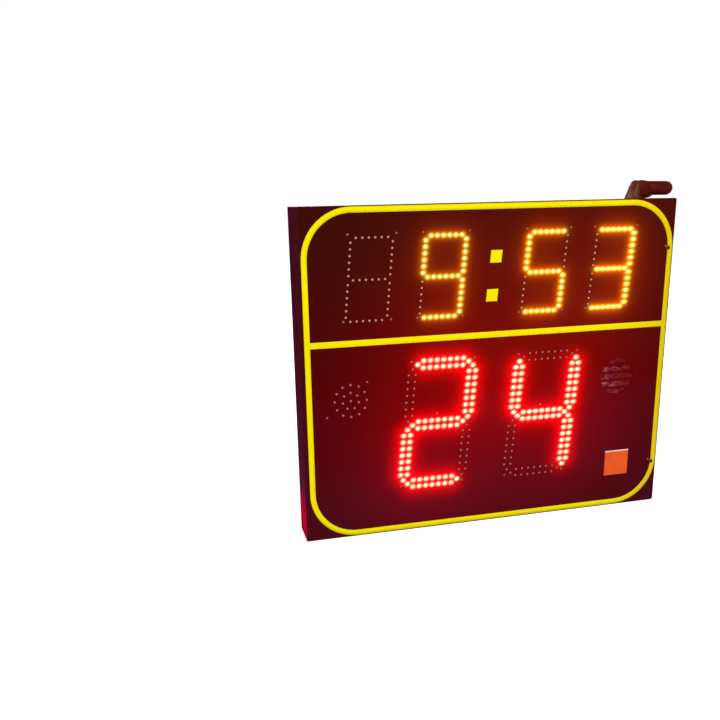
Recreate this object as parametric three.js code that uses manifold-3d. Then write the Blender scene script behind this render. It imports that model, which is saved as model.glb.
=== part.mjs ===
// A basketball shot clock with two rows of LED digits: game time in amber above, shot time in red below.
// Millimetres, +Z up. The front faces -Y, +X is the viewer's right, and the origin is the middle of the
// case's underside.

import * as THREE from 'three';
import { mergeVertices } from 'three/addons/utils/BufferGeometryUtils.js';
import Module from 'manifold-3d';

const wasm = await Module();
wasm.setup();

// Clearances and edges
const gap = 0.3;
const overrun = 5;
const edgeChamfer = 1;

// Case
const caseWidth = 720;
const caseHeight = 600;
const caseDepth = 66;
const profileWall = 3;
const frontFlange = 14;
const rearFlange = 18;
const flangeThickness = 2.5;
const lipWidth = 8;
const lipThickness = 1.8;
const panelThickness = 4;
const panelCornerRadius = 4;
const backThickness = 2;
const bracketLeg = 38;
const bracketThickness = 3;
const bracketDepth = 34;

// Panel screws, in the right-hand edge
const screwInset = 10.6;
const screwTopDrop = 90.7;
const screwLowerZ = 84.2;
const screwHeadRadius = 3.6;
const screwHeadHeight = 1.8;
const screwShankRadius = 1.7;
const screwHoleRadius = 2.1;
const screwTail = 3;

// Printed front
const printThickness = 0.4;
const borderLeftInset = 9;
const borderRightInset = 2;
const borderTopInset = 1.5;
const borderBottomInset = 2;
const borderWidth = 10;
const borderRadius = 88;
const dividerDropShare = 0.3815;
const dividerHeight = 11;
const colonWidth = 21.4;
const colonHeight = 22;
const colonRise = 34.5;
const colonDrop = 3.5;
const labelRightInset = 64.5;
const labelBottom = 64.2;
const labelWidth = 51;
const labelHeight = 51.4;

// LED digits, shared
const digitLeanDegrees = 5.2;
const ledRadius = 2.5;
const ledTipRadius = 1.7;
const ledProud = 2;
const ledRoot = 1;
const slotClearance = 0.4;
const blockPlateThickness = 2;
const boardThickness = 1.6;
const boardMargin = 5;
const plugWidth = 20;
const plugHeight = 8;
const plugDepth = 6;

// Amber digits, game time
const amberDropShare = 0.2075;
const amberInnerShare = 0.1357;
const amberOuterShare = 0.3221;
const amberRowShift = -1.5;
const amberRowStep = 71.2;
const amberColumnX = 37.3;
const amberRowPitch = 11.4;
const amberColumnPitch = 11.2;
const amberBarWidth = 8;
const amberTip = 5.2;
const amberPlateMargin = 9;
const amberLedsPerBar = 6;

// Red digits, shot time
const redDropShare = 0.6565;
const redSpreadShare = 0.1445;
const redPairShift = -3.4;
const redRowStep = 113.5;
const redColumnX = 57.8;
const redLedPitch = 12.7;
const redRowSpacing = 12.8;
const redEndPitch = 10.8;
const redBarWidth = 20.8;
const redTip = 5.5;
const redPlateMargin = 7;
const redLedsPerRow = 7;

// Round lamp cluster
const lampLeftShare = 0.3764;
const lampRiseShare = 0.4367;
const lampRadius = 35;
const lampInnerRing = 15;
const lampOuterRing = 29.5;
const lampFlange = 6;
const lampInnerCount = 7;
const lampOuterCount = 12;

// Horn and its grille
const hornRightShare = 0.361;
const hornRiseShare = 0.445;
const grilleRadius = 35;
const grilleSlotHeight = 10;
const grilleSlotPitch = 15;
const grilleSlotCount = 5;
const hornMouthRadius = 38;
const hornWall = 2;
const hornThroatDepth = 24;
const hornDriverRadius = 25;
const hornDriverDepth = 18;
const hornStrapWidth = 22;
const hornStrapReach = 34;
const hornStrapThickness = 2;
const hornFootLength = 12;
const hornFlareDepthShares = [0, 0.12, 0.3, 0.6, 1];
const hornFlareRadiusShares = [1, 0.62, 0.4, 0.25, 0.18];

// Electronics
const standoffRadius = 3;
const standoffHeight = 10;
const standoffInset = 6;
const controlLeftShare = 0.083;
const controlRiseShare = 0.55;
const controlWidth = 150;
const controlHeight = 110;
const processorSize = 22;
const processorThickness = 3;
const radioRightInset = 98;
const radioTopDrop = 65;
const radioWidth = 60;
const radioHeight = 46;
const radioCanWidth = 30;
const radioCanHeight = 24;
const radioCanThickness = 5;
const radioCanShift = 7.5;
const supplyRightShare = 0.18;
const supplyZ = 110;
const supplyWidth = 159;
const supplyHeight = 98;
const supplyDepth = 38;
const terminalWidth = 14;
const terminalHeight = 70;
const terminalDepth = 14;

// Wiring held inside the case
const ribbonWidth = 14;
const ribbonThickness = 1.5;
const leadWidth = 7;
const coaxWidth = 4;
const trunkSetback = 9;

// Rear mounting rails
const railSideShare = 0.375;
const railHalfWidth = 20;
const railFoot = 14;
const railThickness = 2.5;
const railDepth = 25;
const railTopDrop = 20;
const railSlotWidth = 11;
const railSlotLength = 34;
const railSlotPitch = 180;
const railSlotCount = 3;

// Vent slots in the back panel
const ventWidth = 6;
const ventHeight = 46;
const ventPitch = 30;
const ventTopDrop = 80;
const ventUpperCount = 8;
const ventLowerRightShare = 0.132;
const ventLowerZ = 90;
const ventLowerCount = 5;

// Service plate on the back
const plateLeftShare = 0.14;
const plateZ = 92;
const plateWidth = 180;
const plateHeight = 76;
const plateThickness = 2;

// Power inlet with its fuse drawer
const inletShift = -65;
const inletFlangeWidth = 34;
const inletFlangeHeight = 60;
const inletFlangeThickness = 3;
const inletBodyWidth = 28;
const inletBodyHeight = 50;
const inletBodyDepth = 24;
const socketWidth = 24.5;
const socketHeight = 17;
const socketDepth = 18;
const socketDrop = 10;
const socketPinLength = 11;
const socketPinThickness = 2;
const socketPinHeight = 4;
const socketPinSpacing = 7;
const socketPinRise = 2;
const drawerWidth = 22;
const drawerHeight = 12;
const drawerDepth = 18;
const drawerRise = 14;
const drawerGripHeight = 3;
const drawerGripProud = 2;
const drawerClearance = 0.4;

// Rocker switch
const rockerShift = -18;
const bezelWidth = 24;
const bezelHeight = 34;
const bezelFlangeThickness = 2;
const bezelBodyWidth = 20;
const bezelBodyHeight = 28;
const bezelBodyDepth = 18;
const rockerWidth = 15;
const rockerHeight = 22;
const rockerRadius = 14;
const rockerCrown = 2.2;
const rockerSideClearance = 0.5;
const rockerSwing = 1.4;
const rockerTiltDegrees = 9;
const rockerPivotDepth = 5;
const rockerRootDepth = 5.5;
const rockerRootHeight = 11;

// Channel switch and knob
const knobShift = 22;
const knobRadius = 11;
const knobHeight = 12;
const knobFlutes = 12;
const knobFluteRadius = 1.6;
const knobPointerWidth = 1.6;
const knobPointerProud = 0.8;
const spindleRadius = 3;
const spindleLength = 9;
const bushingRadius = 5;
const channelBodySize = 18;
const channelBodyDepth = 12;
const channelFlangeRadius = 9;
const channelFlangeThickness = 1.5;

// Test button
const buttonShift = 62;
const buttonHousingRadius = 9;
const buttonHousingHeight = 4;
const buttonBarrelRadius = 7;
const buttonBarrelDepth = 16;
const buttonCapRadius = 5;
const buttonCapProud = 3.2;
const buttonCapLength = 9;
const buttonClearance = 0.3;
const buttonTravel = 2.5;

// Aerial on the top edge
const aerialInset = 69;
const aerialSetback = 30;
const aerialFootRadius = 19.3;
const aerialFootEdge = 3;
const aerialShoulderRadius = 15;
const aerialNeckRadius = 12.5;
const aerialShoulderRise = 10;
const aerialPivotRise = 19;
const aerialPivotShift = 5;
const aerialKnuckleRadius = 14.4;
const aerialCheekThickness = 7.6;
const aerialTongueHalf = 4.6;
const aerialTongueRadius = 10;
const aerialRunning = 0.4;
const aerialArmRadius = 12.6;
const aerialTipRadius = 12;
const aerialReach = 71.3;
const aerialPinRadius = 2.5;
const aerialPinHeadRadius = 4.5;
const aerialPinHeadHeight = 1;
const aerialSocketDepth = 2.4;
const aerialBushRadius = 6;
const aerialBushTail = 14;
const aerialNutRadius = 10;
const aerialNutHeight = 5;

// How finely round shapes are cut
const ledSides = 5;
const nutSides = 6;
const knobSides = 24;
const smallSides = 12;
const roundSides = 20;
const armSides = 16;
const arcSteps = 6;

// Places that follow from the sizes above
const frontY = -caseDepth / 2;
const backY = caseDepth / 2;
const panelBackY = frontY + panelThickness;
const flangeBackY = panelBackY + gap + flangeThickness;
const backSheetY = backY - backThickness;
const rearFlangeY = backSheetY - flangeThickness;
const innerX = caseWidth / 2 - profileWall;
const innerTop = caseHeight - profileWall;
const screwX = caseWidth / 2 - screwInset;
const plateFaceY = backY + plateThickness;
const blockBackY = panelBackY + gap + blockPlateThickness;
const boardFrontY = blockBackY + gap;
const boardBackY = boardFrontY + boardThickness;
const digitLean = THREE.MathUtils.degToRad(digitLeanDegrees);
const screwUpperZ = caseHeight - screwTopDrop;
const amberZ = caseHeight * (1 - amberDropShare);
const amberInnerX = caseWidth * amberInnerShare;
const amberOuterX = caseWidth * amberOuterShare;
const colonZ = amberZ - colonDrop;
const redZ = caseHeight * (1 - redDropShare);
const redX = caseWidth * redSpreadShare;
const lampX = -caseWidth * lampLeftShare;
const lampZ = caseHeight * lampRiseShare;
const hornX = caseWidth * hornRightShare;
const hornZ = caseHeight * hornRiseShare;
const controlX = -caseWidth * controlLeftShare;
const controlZ = caseHeight * controlRiseShare;
const radioX = caseWidth / 2 - radioRightInset;
const radioZ = caseHeight - radioTopDrop;
const supplyX = caseWidth * supplyRightShare;
const railX = caseWidth * railSideShare;
const plateX = -caseWidth * plateLeftShare;
const inletX = plateX + inletShift;
const rockerX = plateX + rockerShift;
const knobX = plateX + knobShift;
const buttonX = plateX + buttonShift;
const socketZ = plateZ - socketDrop;
const drawerZ = plateZ + drawerRise;
const rockerTilt = THREE.MathUtils.degToRad(rockerTiltDegrees);
const aerialX = caseWidth / 2 - aerialInset;
const aerialY = frontY + aerialSetback;

const xAxis = new THREE.Vector3(1, 0, 0);
const yAxis = new THREE.Vector3(0, 1, 0);
const zAxis = new THREE.Vector3(0, 0, 1);
const towardsFront = new THREE.Vector3(0, -1, 0);

// Finishes
const darkPanel = new THREE.MeshStandardMaterial({ color: 0x4a1013, roughness: 0.3, metalness: 0 });
const darkCase = new THREE.MeshStandardMaterial({ color: 0x3a0d14, roughness: 0.25, metalness: 0.1 });
const greyMetal = new THREE.MeshStandardMaterial({ color: 0x9a9c9e, roughness: 0.45, metalness: 0.9 });
const darkSteel = new THREE.MeshStandardMaterial({ color: 0x2b2b2d, roughness: 0.4, metalness: 0.8 });
const yellowPrint = new THREE.MeshStandardMaterial({ color: 0xf0e006, roughness: 0.5, metalness: 0 });
const orangeLabel = new THREE.MeshStandardMaterial({ color: 0xe8642d, roughness: 0.5, metalness: 0 });
const amberLed = new THREE.MeshStandardMaterial({ color: 0xffa31a, roughness: 0.3, metalness: 0 });
const redLed = new THREE.MeshStandardMaterial({ color: 0xe01410, roughness: 0.3, metalness: 0 });
const clearLed = new THREE.MeshStandardMaterial({ color: 0xc9a3a0, roughness: 0.3, metalness: 0 });
const greenBoard = new THREE.MeshStandardMaterial({ color: 0x1d5b34, roughness: 0.5, metalness: 0 });
const hornMetal = new THREE.MeshStandardMaterial({ color: 0xb98a8c, roughness: 0.2, metalness: 0.9 });
const cable = new THREE.MeshStandardMaterial({ color: 0x6d6f74, roughness: 0.6, metalness: 0 });
const blackPlastic = new THREE.MeshStandardMaterial({ color: 0x17171a, roughness: 0.5, metalness: 0 });
const aerialRubber = new THREE.MeshStandardMaterial({ color: 0x241013, roughness: 0.4, metalness: 0 });
const redPlastic = new THREE.MeshStandardMaterial({ color: 0xa81a1a, roughness: 0.4, metalness: 0 });

// Basic solids

function block(x0, x1, y0, y1, z0, z1) {
  const box = new THREE.BoxGeometry(x1 - x0, y1 - y0, z1 - z0);
  return box.translate((x0 + x1) / 2, (y0 + y1) / 2, (z0 + z1) / 2);
}

function outline(points, holes = []) {
  const shape = new THREE.Shape(points.map(([u, v]) => new THREE.Vector2(u, v)));
  for (const hole of holes) {
    shape.holes.push(new THREE.Path(hole.map(([u, v]) => new THREE.Vector2(u, v))));
  }
  return shape;
}

function turnedTo(geometry, first, second, third) {
  return geometry.applyMatrix4(new THREE.Matrix4().makeBasis(first, second, third));
}

// A sheet whose outline is drawn in X and Z, from the front face y0 to the rear face y1.
function sheet(shape, y0, y1) {
  const extruded = new THREE.ExtrudeGeometry(shape, { depth: y1 - y0, bevelEnabled: false });
  return turnedTo(extruded, xAxis, zAxis, towardsFront).translate(0, y1, 0);
}

// A bar whose section is drawn in X and Y, standing from z0 to z1.
function upright(shape, z0, z1) {
  const extruded = new THREE.ExtrudeGeometry(shape, { depth: z1 - z0, bevelEnabled: false });
  return extruded.translate(0, 0, z0);
}

// A bar whose section is drawn in Y and Z, lying from x0 to x1.
function lying(shape, x0, x1) {
  const extruded = new THREE.ExtrudeGeometry(shape, { depth: x1 - x0, bevelEnabled: false });
  return turnedTo(extruded, yAxis, zAxis, xAxis).translate(x0, 0, 0);
}

// A round bar along Y, with its radius at the front end and at the rear end.
function rodY(x, z, frontRadius, rearRadius, y0, y1, sides) {
  const rod = new THREE.CylinderGeometry(rearRadius, frontRadius, y1 - y0, sides);
  return rod.translate(x, (y0 + y1) / 2, z);
}

function rodZ(x, y, radius, z0, z1, sides) {
  const rod = new THREE.CylinderGeometry(radius, radius, z1 - z0, sides).rotateX(Math.PI / 2);
  return rod.translate(x, y, (z0 + z1) / 2);
}

function circle(x, z, radius, sides, startAngle = 0) {
  return Array.from({ length: sides }, (_, i) => {
    const angle = startAngle + (i / sides) * 2 * Math.PI;
    return [x + radius * Math.cos(angle), z + radius * Math.sin(angle)];
  });
}

function arc(x, z, radius, startAngle, endAngle, steps) {
  return Array.from({ length: steps + 1 }, (_, i) => {
    const angle = startAngle + (i / steps) * (endAngle - startAngle);
    return [x + radius * Math.cos(angle), z + radius * Math.sin(angle)];
  });
}

// A slot with round ends, longer along Z.
function roundedSlot(x, z, width, length) {
  const reach = (length - width) / 2;
  return [
    ...arc(x, z + reach, width / 2, 0, Math.PI, arcSteps),
    ...arc(x, z - reach, width / 2, Math.PI, 2 * Math.PI, arcSteps),
  ];
}

function rectangle(x, z, width, height) {
  return [
    [x - width / 2, z - height / 2],
    [x + width / 2, z - height / 2],
    [x + width / 2, z + height / 2],
    [x - width / 2, z + height / 2],
  ];
}

// Joining and cutting

function solid(geometry) {
  const bare = geometry.clone();
  bare.deleteAttribute('normal');
  bare.deleteAttribute('uv');
  const merged = mergeVertices(bare);
  const corners = Array.from(merged.index.array);
  const kept = [];
  for (let i = 0; i < corners.length; i += 3) {
    const [a, b, c] = corners.slice(i, i + 3);
    if (a !== b && b !== c && c !== a) kept.push(a, b, c);
  }
  return new wasm.Manifold(new wasm.Mesh({
    numProp: 3,
    vertProperties: merged.attributes.position.array,
    triVerts: Uint32Array.from(kept),
  }));
}

function surface(manifold) {
  const mesh = manifold.getMesh();
  const geometry = new THREE.BufferGeometry();
  geometry.setAttribute('position', new THREE.BufferAttribute(new Float32Array(mesh.vertProperties), 3));
  geometry.setIndex(new THREE.BufferAttribute(new Uint32Array(mesh.triVerts), 1));
  geometry.computeVertexNormals();
  return geometry;
}

function join(first, ...others) {
  return surface(others.reduce((whole, part) => whole.add(solid(part)), solid(first)));
}

function cut(first, ...tools) {
  return surface(tools.reduce((whole, tool) => whole.subtract(solid(tool)), solid(first)));
}

const shotClock = new THREE.Group();

function add(name, geometry, material, parent = shotClock) {
  const mesh = new THREE.Mesh(geometry, material);
  mesh.name = name;
  parent.add(mesh);
  return mesh;
}

// Digit layout: each digit is a list of bars, and each bar a pointed outline with its LEDs. Places are
// measured from the middle of the digit before it leans.

function leaning(x, z, [u, v]) {
  return [x + u + v * Math.tan(digitLean), z + v];
}

function pointedBar(u, v, halfLength, width, upright) {
  const shoulder = halfLength - width / 2;
  const points = [
    [-halfLength, 0], [-shoulder, -width / 2], [shoulder, -width / 2],
    [halfLength, 0], [shoulder, width / 2], [-shoulder, width / 2],
  ];
  return points.map(([along, across]) => (upright ? [u - across, v + along] : [u + along, v + across]));
}

function barPlaces(columnX, rowStep) {
  return [
    { u: 0, v: rowStep, upright: false },
    { u: 0, v: 0, upright: false },
    { u: 0, v: -rowStep, upright: false },
    { u: -columnX, v: rowStep / 2, upright: true },
    { u: columnX, v: rowStep / 2, upright: true },
    { u: -columnX, v: -rowStep / 2, upright: true },
    { u: columnX, v: -rowStep / 2, upright: true },
  ];
}

function singleRow(u, v, pitch, count, upright) {
  return Array.from({ length: count }, (_, i) => {
    const along = (i - (count - 1) / 2) * pitch;
    return upright ? [u, v + along] : [u + along, v];
  });
}

function amberBars() {
  return barPlaces(amberColumnX, amberRowStep).map(({ u, v, upright }) => {
    const pitch = upright ? amberColumnPitch : amberRowPitch;
    const halfLength = (amberLedsPerBar - 1) * pitch / 2 + amberTip;
    return {
      leds: singleRow(u, v, pitch, amberLedsPerBar, upright),
      bar: pointedBar(u, v, halfLength, amberBarWidth, upright),
      slot: pointedBar(u, v, halfLength + slotClearance * Math.SQRT2, amberBarWidth + 2 * slotClearance,
        upright),
    };
  });
}

function redBars() {
  const rowReach = (redLedsPerRow - 1) * redLedPitch / 2;
  const endReach = rowReach + redEndPitch;
  return barPlaces(redColumnX, redRowStep).map(({ u, v, upright }) => {
    const half = redRowSpacing / 2;
    const rows = upright
      ? [[u - half, v], [u + half, v]]
      : [[u, v - half], [u, v + half]];
    const leds = rows.flatMap(([a, b]) => singleRow(a, b, redLedPitch, redLedsPerRow, upright));
    leds.push(upright ? [u, v - endReach] : [u - endReach, v]);
    leds.push(upright ? [u, v + endReach] : [u + endReach, v]);
    const halfLength = endReach + redTip;
    return {
      leds,
      bar: pointedBar(u, v, halfLength, redBarWidth, upright),
      slot: pointedBar(u, v, halfLength + slotClearance * Math.SQRT2, redBarWidth + 2 * slotClearance,
        upright),
    };
  });
}

const amberDigits = [-amberOuterX, -amberInnerX, amberInnerX, amberOuterX].map((x) => ({
  x: amberRowShift + x, z: amberZ, bars: amberBars(), material: amberLed,
  halfWidth: amberColumnX + amberPlateMargin,
  halfHeight: amberRowStep + amberPlateMargin,
}));

const redDigits = [redPairShift - redX, redPairShift + redX].map((x) => ({
  x, z: redZ, bars: redBars(), material: redLed,
  halfWidth: redColumnX + redBarWidth / 2 + redPlateMargin,
  halfHeight: redRowStep + redBarWidth / 2 + redPlateMargin,
}));

function digitPlate(digit, margin) {
  const w = digit.halfWidth + margin;
  const h = digit.halfHeight + margin;
  return [[-w, -h], [w, -h], [w, h], [-w, h]].map((corner) => leaning(digit.x, digit.z, corner));
}

function ledPeg([x, z]) {
  return rodY(x, z, ledTipRadius, ledRadius, frontY - ledProud, frontY + ledRoot, ledSides);
}

// The moulded block of a digit: a plate behind the panel, seven bars flush with the panel's face, and the
// LEDs standing out of them.
function digitBlock(digit) {
  const plate = sheet(outline(digitPlate(digit, 0)), panelBackY + gap, blockBackY);
  const bars = digit.bars.map(({ bar }) => {
    const corners = bar.map((corner) => leaning(digit.x, digit.z, corner));
    return sheet(outline(corners), frontY, panelBackY + gap + blockPlateThickness / 2);
  });
  const pegs = digit.bars.flatMap(({ leds }) => leds.map((led) => ledPeg(leaning(digit.x, digit.z, led))));
  return join(plate, ...bars, ...pegs);
}

// The circuit board behind a digit, with the plug socket for its ribbon.
function digitBoard(digit) {
  const plate = sheet(outline(digitPlate(digit, -boardMargin)), boardFrontY, boardBackY);
  const plug = block(
    digit.x - plugWidth / 2, digit.x + plugWidth / 2,
    boardBackY - boardThickness / 2, boardBackY + plugDepth,
    digit.z - plugHeight / 2, digit.z + plugHeight / 2,
  );
  return join(plate, plug);
}

// Front panel

const lampLeds = [
  [lampX, lampZ],
  ...circle(lampX, lampZ, lampInnerRing, lampInnerCount, Math.PI / 2),
  ...circle(lampX, lampZ, lampOuterRing, lampOuterCount),
];

// One horizontal slot of the round grille, its ends following the grille's circle.
function grilleSlot(centre) {
  const top = centre + grilleSlotHeight / 2;
  const bottom = centre - grilleSlotHeight / 2;
  const clamp = (value) => Math.max(-1, Math.min(1, value / grilleRadius));
  const topAngle = Math.asin(clamp(top));
  const bottomAngle = Math.asin(clamp(bottom));
  const right = arc(hornX, hornZ, grilleRadius, bottomAngle, topAngle, arcSteps);
  const left = arc(hornX, hornZ, grilleRadius, Math.PI - topAngle, Math.PI - bottomAngle, arcSteps);
  const pointed = Math.abs(clamp(top)) === 1;
  const based = Math.abs(clamp(bottom)) === 1;
  return [...(based ? right.slice(1) : right), ...(pointed ? left.slice(1) : left)];
}

function grilleSlots() {
  return Array.from({ length: grilleSlotCount }, (_, i) => (
    grilleSlot((i - (grilleSlotCount - 1) / 2) * grilleSlotPitch)
  ));
}

const panelLeft = -caseWidth / 2 + lipWidth + gap;

function frontPanel() {
  const left = -innerX + gap;
  const right = caseWidth / 2;
  const r = panelCornerRadius;
  const rim = [
    [left, 0],
    ...arc(right - r, r, r, -Math.PI / 2, 0, arcSteps),
    ...arc(right - r, caseHeight - r, r, 0, Math.PI / 2, arcSteps),
    [left, caseHeight],
  ];
  const digitSlots = [...amberDigits, ...redDigits].flatMap((digit) => (
    digit.bars.map(({ slot }) => slot.map((corner) => leaning(digit.x, digit.z, corner)))
  ));
  const holes = [
    ...digitSlots,
    ...grilleSlots(),
    circle(lampX, lampZ, lampRadius + slotClearance, roundSides),
    circle(screwX, screwUpperZ, screwHoleRadius, smallSides),
    circle(screwX, screwLowerZ, screwHoleRadius, smallSides),
  ];
  const body = sheet(outline(rim, holes), frontY, panelBackY);
  const rebate = block(
    left - overrun, panelLeft, frontY - overrun, frontY + lipThickness + gap,
    -overrun, caseHeight + overrun,
  );
  return cut(body, rebate);
}

// Case profiles

function leftProfile() {
  const outer = -caseWidth / 2;
  const section = outline([
    [outer, frontY], [outer + lipWidth, frontY], [outer + lipWidth, frontY + lipThickness],
    [-innerX, frontY + lipThickness], [-innerX, panelBackY + gap],
    [-innerX + frontFlange, panelBackY + gap], [-innerX + frontFlange, flangeBackY],
    [-innerX, flangeBackY], [-innerX, rearFlangeY],
    [-innerX + rearFlange, rearFlangeY], [-innerX + rearFlange, backSheetY],
    [-innerX, backSheetY], [-innerX, backY], [outer, backY],
  ]);
  return upright(section, 0, caseHeight);
}

function rightProfile() {
  const outer = caseWidth / 2;
  const section = outline([
    [outer, panelBackY], [outer, backY], [innerX, backY], [innerX, backSheetY],
    [innerX - rearFlange, backSheetY], [innerX - rearFlange, rearFlangeY],
    [innerX, rearFlangeY], [innerX, flangeBackY],
    [innerX - frontFlange, flangeBackY], [innerX - frontFlange, panelBackY],
  ]);
  const holes = [screwUpperZ, screwLowerZ].map((z) => (
    rodY(screwX, z, screwHoleRadius, screwHoleRadius, panelBackY - overrun, flangeBackY + overrun,
      smallSides)
  ));
  return cut(upright(section, 0, caseHeight), ...holes);
}

// The top and bottom profiles are one section, turned over, and coped round the side profiles' flanges.
function crossProfile(outerZ, inward) {
  const innerZ = outerZ + inward * profileWall;
  const frontZ = innerZ + inward * frontFlange;
  const rearZ = innerZ + inward * rearFlange;
  const section = outline([
    [panelBackY, outerZ], [backY, outerZ], [backY, innerZ], [backSheetY, innerZ],
    [backSheetY, rearZ], [rearFlangeY, rearZ], [rearFlangeY, innerZ],
    [flangeBackY, innerZ], [flangeBackY, frontZ], [panelBackY, frontZ],
  ]);
  const length = innerX - gap;
  const copes = [-1, 1].flatMap((side) => [
    [frontFlange, panelBackY - overrun, flangeBackY + gap],
    [rearFlange, rearFlangeY - gap, backSheetY + gap],
  ].map(([flange, y0, y1]) => {
    const reach = innerX - flange - gap;
    const x0 = side > 0 ? reach : -length - overrun;
    return block(x0, x0 + length + overrun - reach, y0, y1, -overrun, caseHeight + overrun);
  }));
  return cut(lying(section, -length, length), ...copes);
}

function topProfile() {
  const bushHole = rodZ(
    aerialX, aerialY, aerialBushRadius + gap, innerTop - overrun, caseHeight + overrun, smallSides,
  );
  return cut(crossProfile(caseHeight, -1), bushHole);
}

function cornerBracket(side, up) {
  const x = side * (innerX - gap);
  const z = up > 0 ? innerTop - gap : profileWall + gap;
  const section = outline([
    [x, z], [x - side * bracketLeg, z], [x - side * bracketLeg, z - up * bracketThickness],
    [x - side * bracketThickness, z - up * bracketThickness],
    [x - side * bracketThickness, z - up * bracketLeg], [x, z - up * bracketLeg],
  ]);
  return sheet(section, -bracketDepth / 2, bracketDepth / 2);
}

// Back panel, vents and service opening

function ventRow(centreX, z, count) {
  return Array.from({ length: count }, (_, i) => (
    roundedSlot(centreX + (i - (count - 1) / 2) * ventPitch, z, ventWidth, ventHeight)
  ));
}

// The holes for the inlet, the switches and the button, alike in the back panel and the service plate.
function fittingHoles() {
  return [
    rectangle(inletX, plateZ, inletBodyWidth + 2 * gap, inletBodyHeight + 2 * gap),
    rectangle(rockerX, plateZ, bezelBodyWidth + 2 * gap, bezelBodyHeight + 2 * gap),
    circle(knobX, plateZ, bushingRadius + gap, smallSides),
    circle(buttonX, plateZ, buttonBarrelRadius + gap, roundSides),
  ];
}

function backPanel() {
  const holes = [
    ...ventRow(0, caseHeight - ventTopDrop, ventUpperCount),
    ...ventRow(caseWidth * ventLowerRightShare, ventLowerZ, ventLowerCount),
    ...fittingHoles(),
  ];
  const middleZ = (innerTop + profileWall) / 2;
  const rim = rectangle(0, middleZ, 2 * (innerX - gap), innerTop - profileWall - 2 * gap);
  return sheet(outline(rim, holes), backSheetY, backY);
}

function mountingRail(x) {
  const w = railHalfWidth;
  const t = railThickness;
  const section = outline([
    [-w - railFoot, 0], [-w + t, 0], [-w + t, railDepth - t], [w - t, railDepth - t],
    [w - t, 0], [w + railFoot, 0], [w + railFoot, t], [w, t],
    [w, railDepth], [-w, railDepth], [-w, t], [-w - railFoot, t],
  ].map(([u, v]) => [x + u, backY + v]));
  const railTop = caseHeight - railTopDrop;
  const slots = Array.from({ length: railSlotCount }, (_, i) => {
    const z = railTop / 2 + (i - (railSlotCount - 1) / 2) * railSlotPitch;
    const hole = outline(roundedSlot(x, z, railSlotWidth, railSlotLength));
    return sheet(hole, backY + railDepth - railThickness - overrun, backY + railDepth + overrun);
  });
  return cut(upright(section, 0, railTop), ...slots);
}

// Screws

function panelScrew(z) {
  const tailY = flangeBackY + screwTail;
  return join(
    rodY(screwX, z, screwHeadRadius - screwHeadHeight / 2, screwHeadRadius,
      frontY - screwHeadHeight, frontY, smallSides),
    rodY(screwX, z, screwShankRadius, screwShankRadius, frontY - screwHeadHeight / 2, tailY, smallSides),
  );
}

// Printed border, colon and label

function roundedWindow(left, right, bottom, top, lowerRadius, upperRadius) {
  const corner = (x, z, radius, start) => (
    radius > 0 ? arc(x, z, radius, start, start + Math.PI / 2, arcSteps) : [[x, z]]
  );
  return [
    ...corner(right - lowerRadius, bottom + lowerRadius, lowerRadius, -Math.PI / 2),
    ...corner(right - upperRadius, top - upperRadius, upperRadius, 0),
    ...corner(left + upperRadius, top - upperRadius, upperRadius, Math.PI / 2),
    ...corner(left + lowerRadius, bottom + lowerRadius, lowerRadius, Math.PI),
  ];
}

function borderStripe() {
  const left = -caseWidth / 2 + borderLeftInset;
  const right = caseWidth / 2 - borderRightInset;
  const bottom = borderBottomInset;
  const top = caseHeight - borderTopInset;
  const dividerTop = caseHeight * (1 - dividerDropShare);
  const innerRadius = borderRadius - borderWidth;
  const rim = roundedWindow(left, right, bottom, top, borderRadius, borderRadius);
  const upperWindow = roundedWindow(
    left + borderWidth, right - borderWidth, dividerTop, top - borderWidth, 0, innerRadius,
  );
  const lowerWindow = roundedWindow(
    left + borderWidth, right - borderWidth, bottom + borderWidth, dividerTop - dividerHeight,
    innerRadius, 0,
  );
  const film = sheet(outline(rim, [upperWindow, lowerWindow]), frontY - printThickness, frontY);
  const clear = [screwUpperZ, screwLowerZ].map((z) => rodY(
    screwX, z, screwHeadRadius + gap, screwHeadRadius + gap, frontY - overrun, frontY + overrun, smallSides,
  ));
  return cut(film, ...clear);
}

function colonSquare(rise) {
  const corners = rectangle(0, rise, colonWidth, colonHeight)
    .map((corner) => leaning(amberRowShift, colonZ, corner));
  return sheet(outline(corners), frontY - printThickness, frontY);
}

function frontLabel() {
  const x = caseWidth / 2 - labelRightInset - labelWidth / 2;
  const corners = rectangle(x, labelBottom + labelHeight / 2, labelWidth, labelHeight);
  return sheet(outline(corners), frontY - printThickness, frontY);
}

// Lamp cluster

function lampBlock() {
  const flange = sheet(
    outline(circle(lampX, lampZ, lampRadius + lampFlange, roundSides)), panelBackY + gap, blockBackY,
  );
  const face = sheet(
    outline(circle(lampX, lampZ, lampRadius, roundSides)), frontY,
    panelBackY + gap + blockPlateThickness / 2,
  );
  return join(flange, face, ...lampLeds.map(ledPeg));
}

function lampBoard() {
  return join(
    sheet(outline(circle(lampX, lampZ, lampRadius, roundSides)), boardFrontY, boardBackY),
    block(lampX - plugWidth / 2, lampX + plugWidth / 2, boardBackY - boardThickness / 2,
      boardBackY + plugDepth, lampZ - plugHeight / 2, lampZ + plugHeight / 2),
  );
}

// Horn: a flared mouth behind the grille, a throat, and the driver behind it.
const hornFrontY = panelBackY + gap;
const hornBackY = hornFrontY + hornThroatDepth + hornWall + hornDriverDepth;

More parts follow.
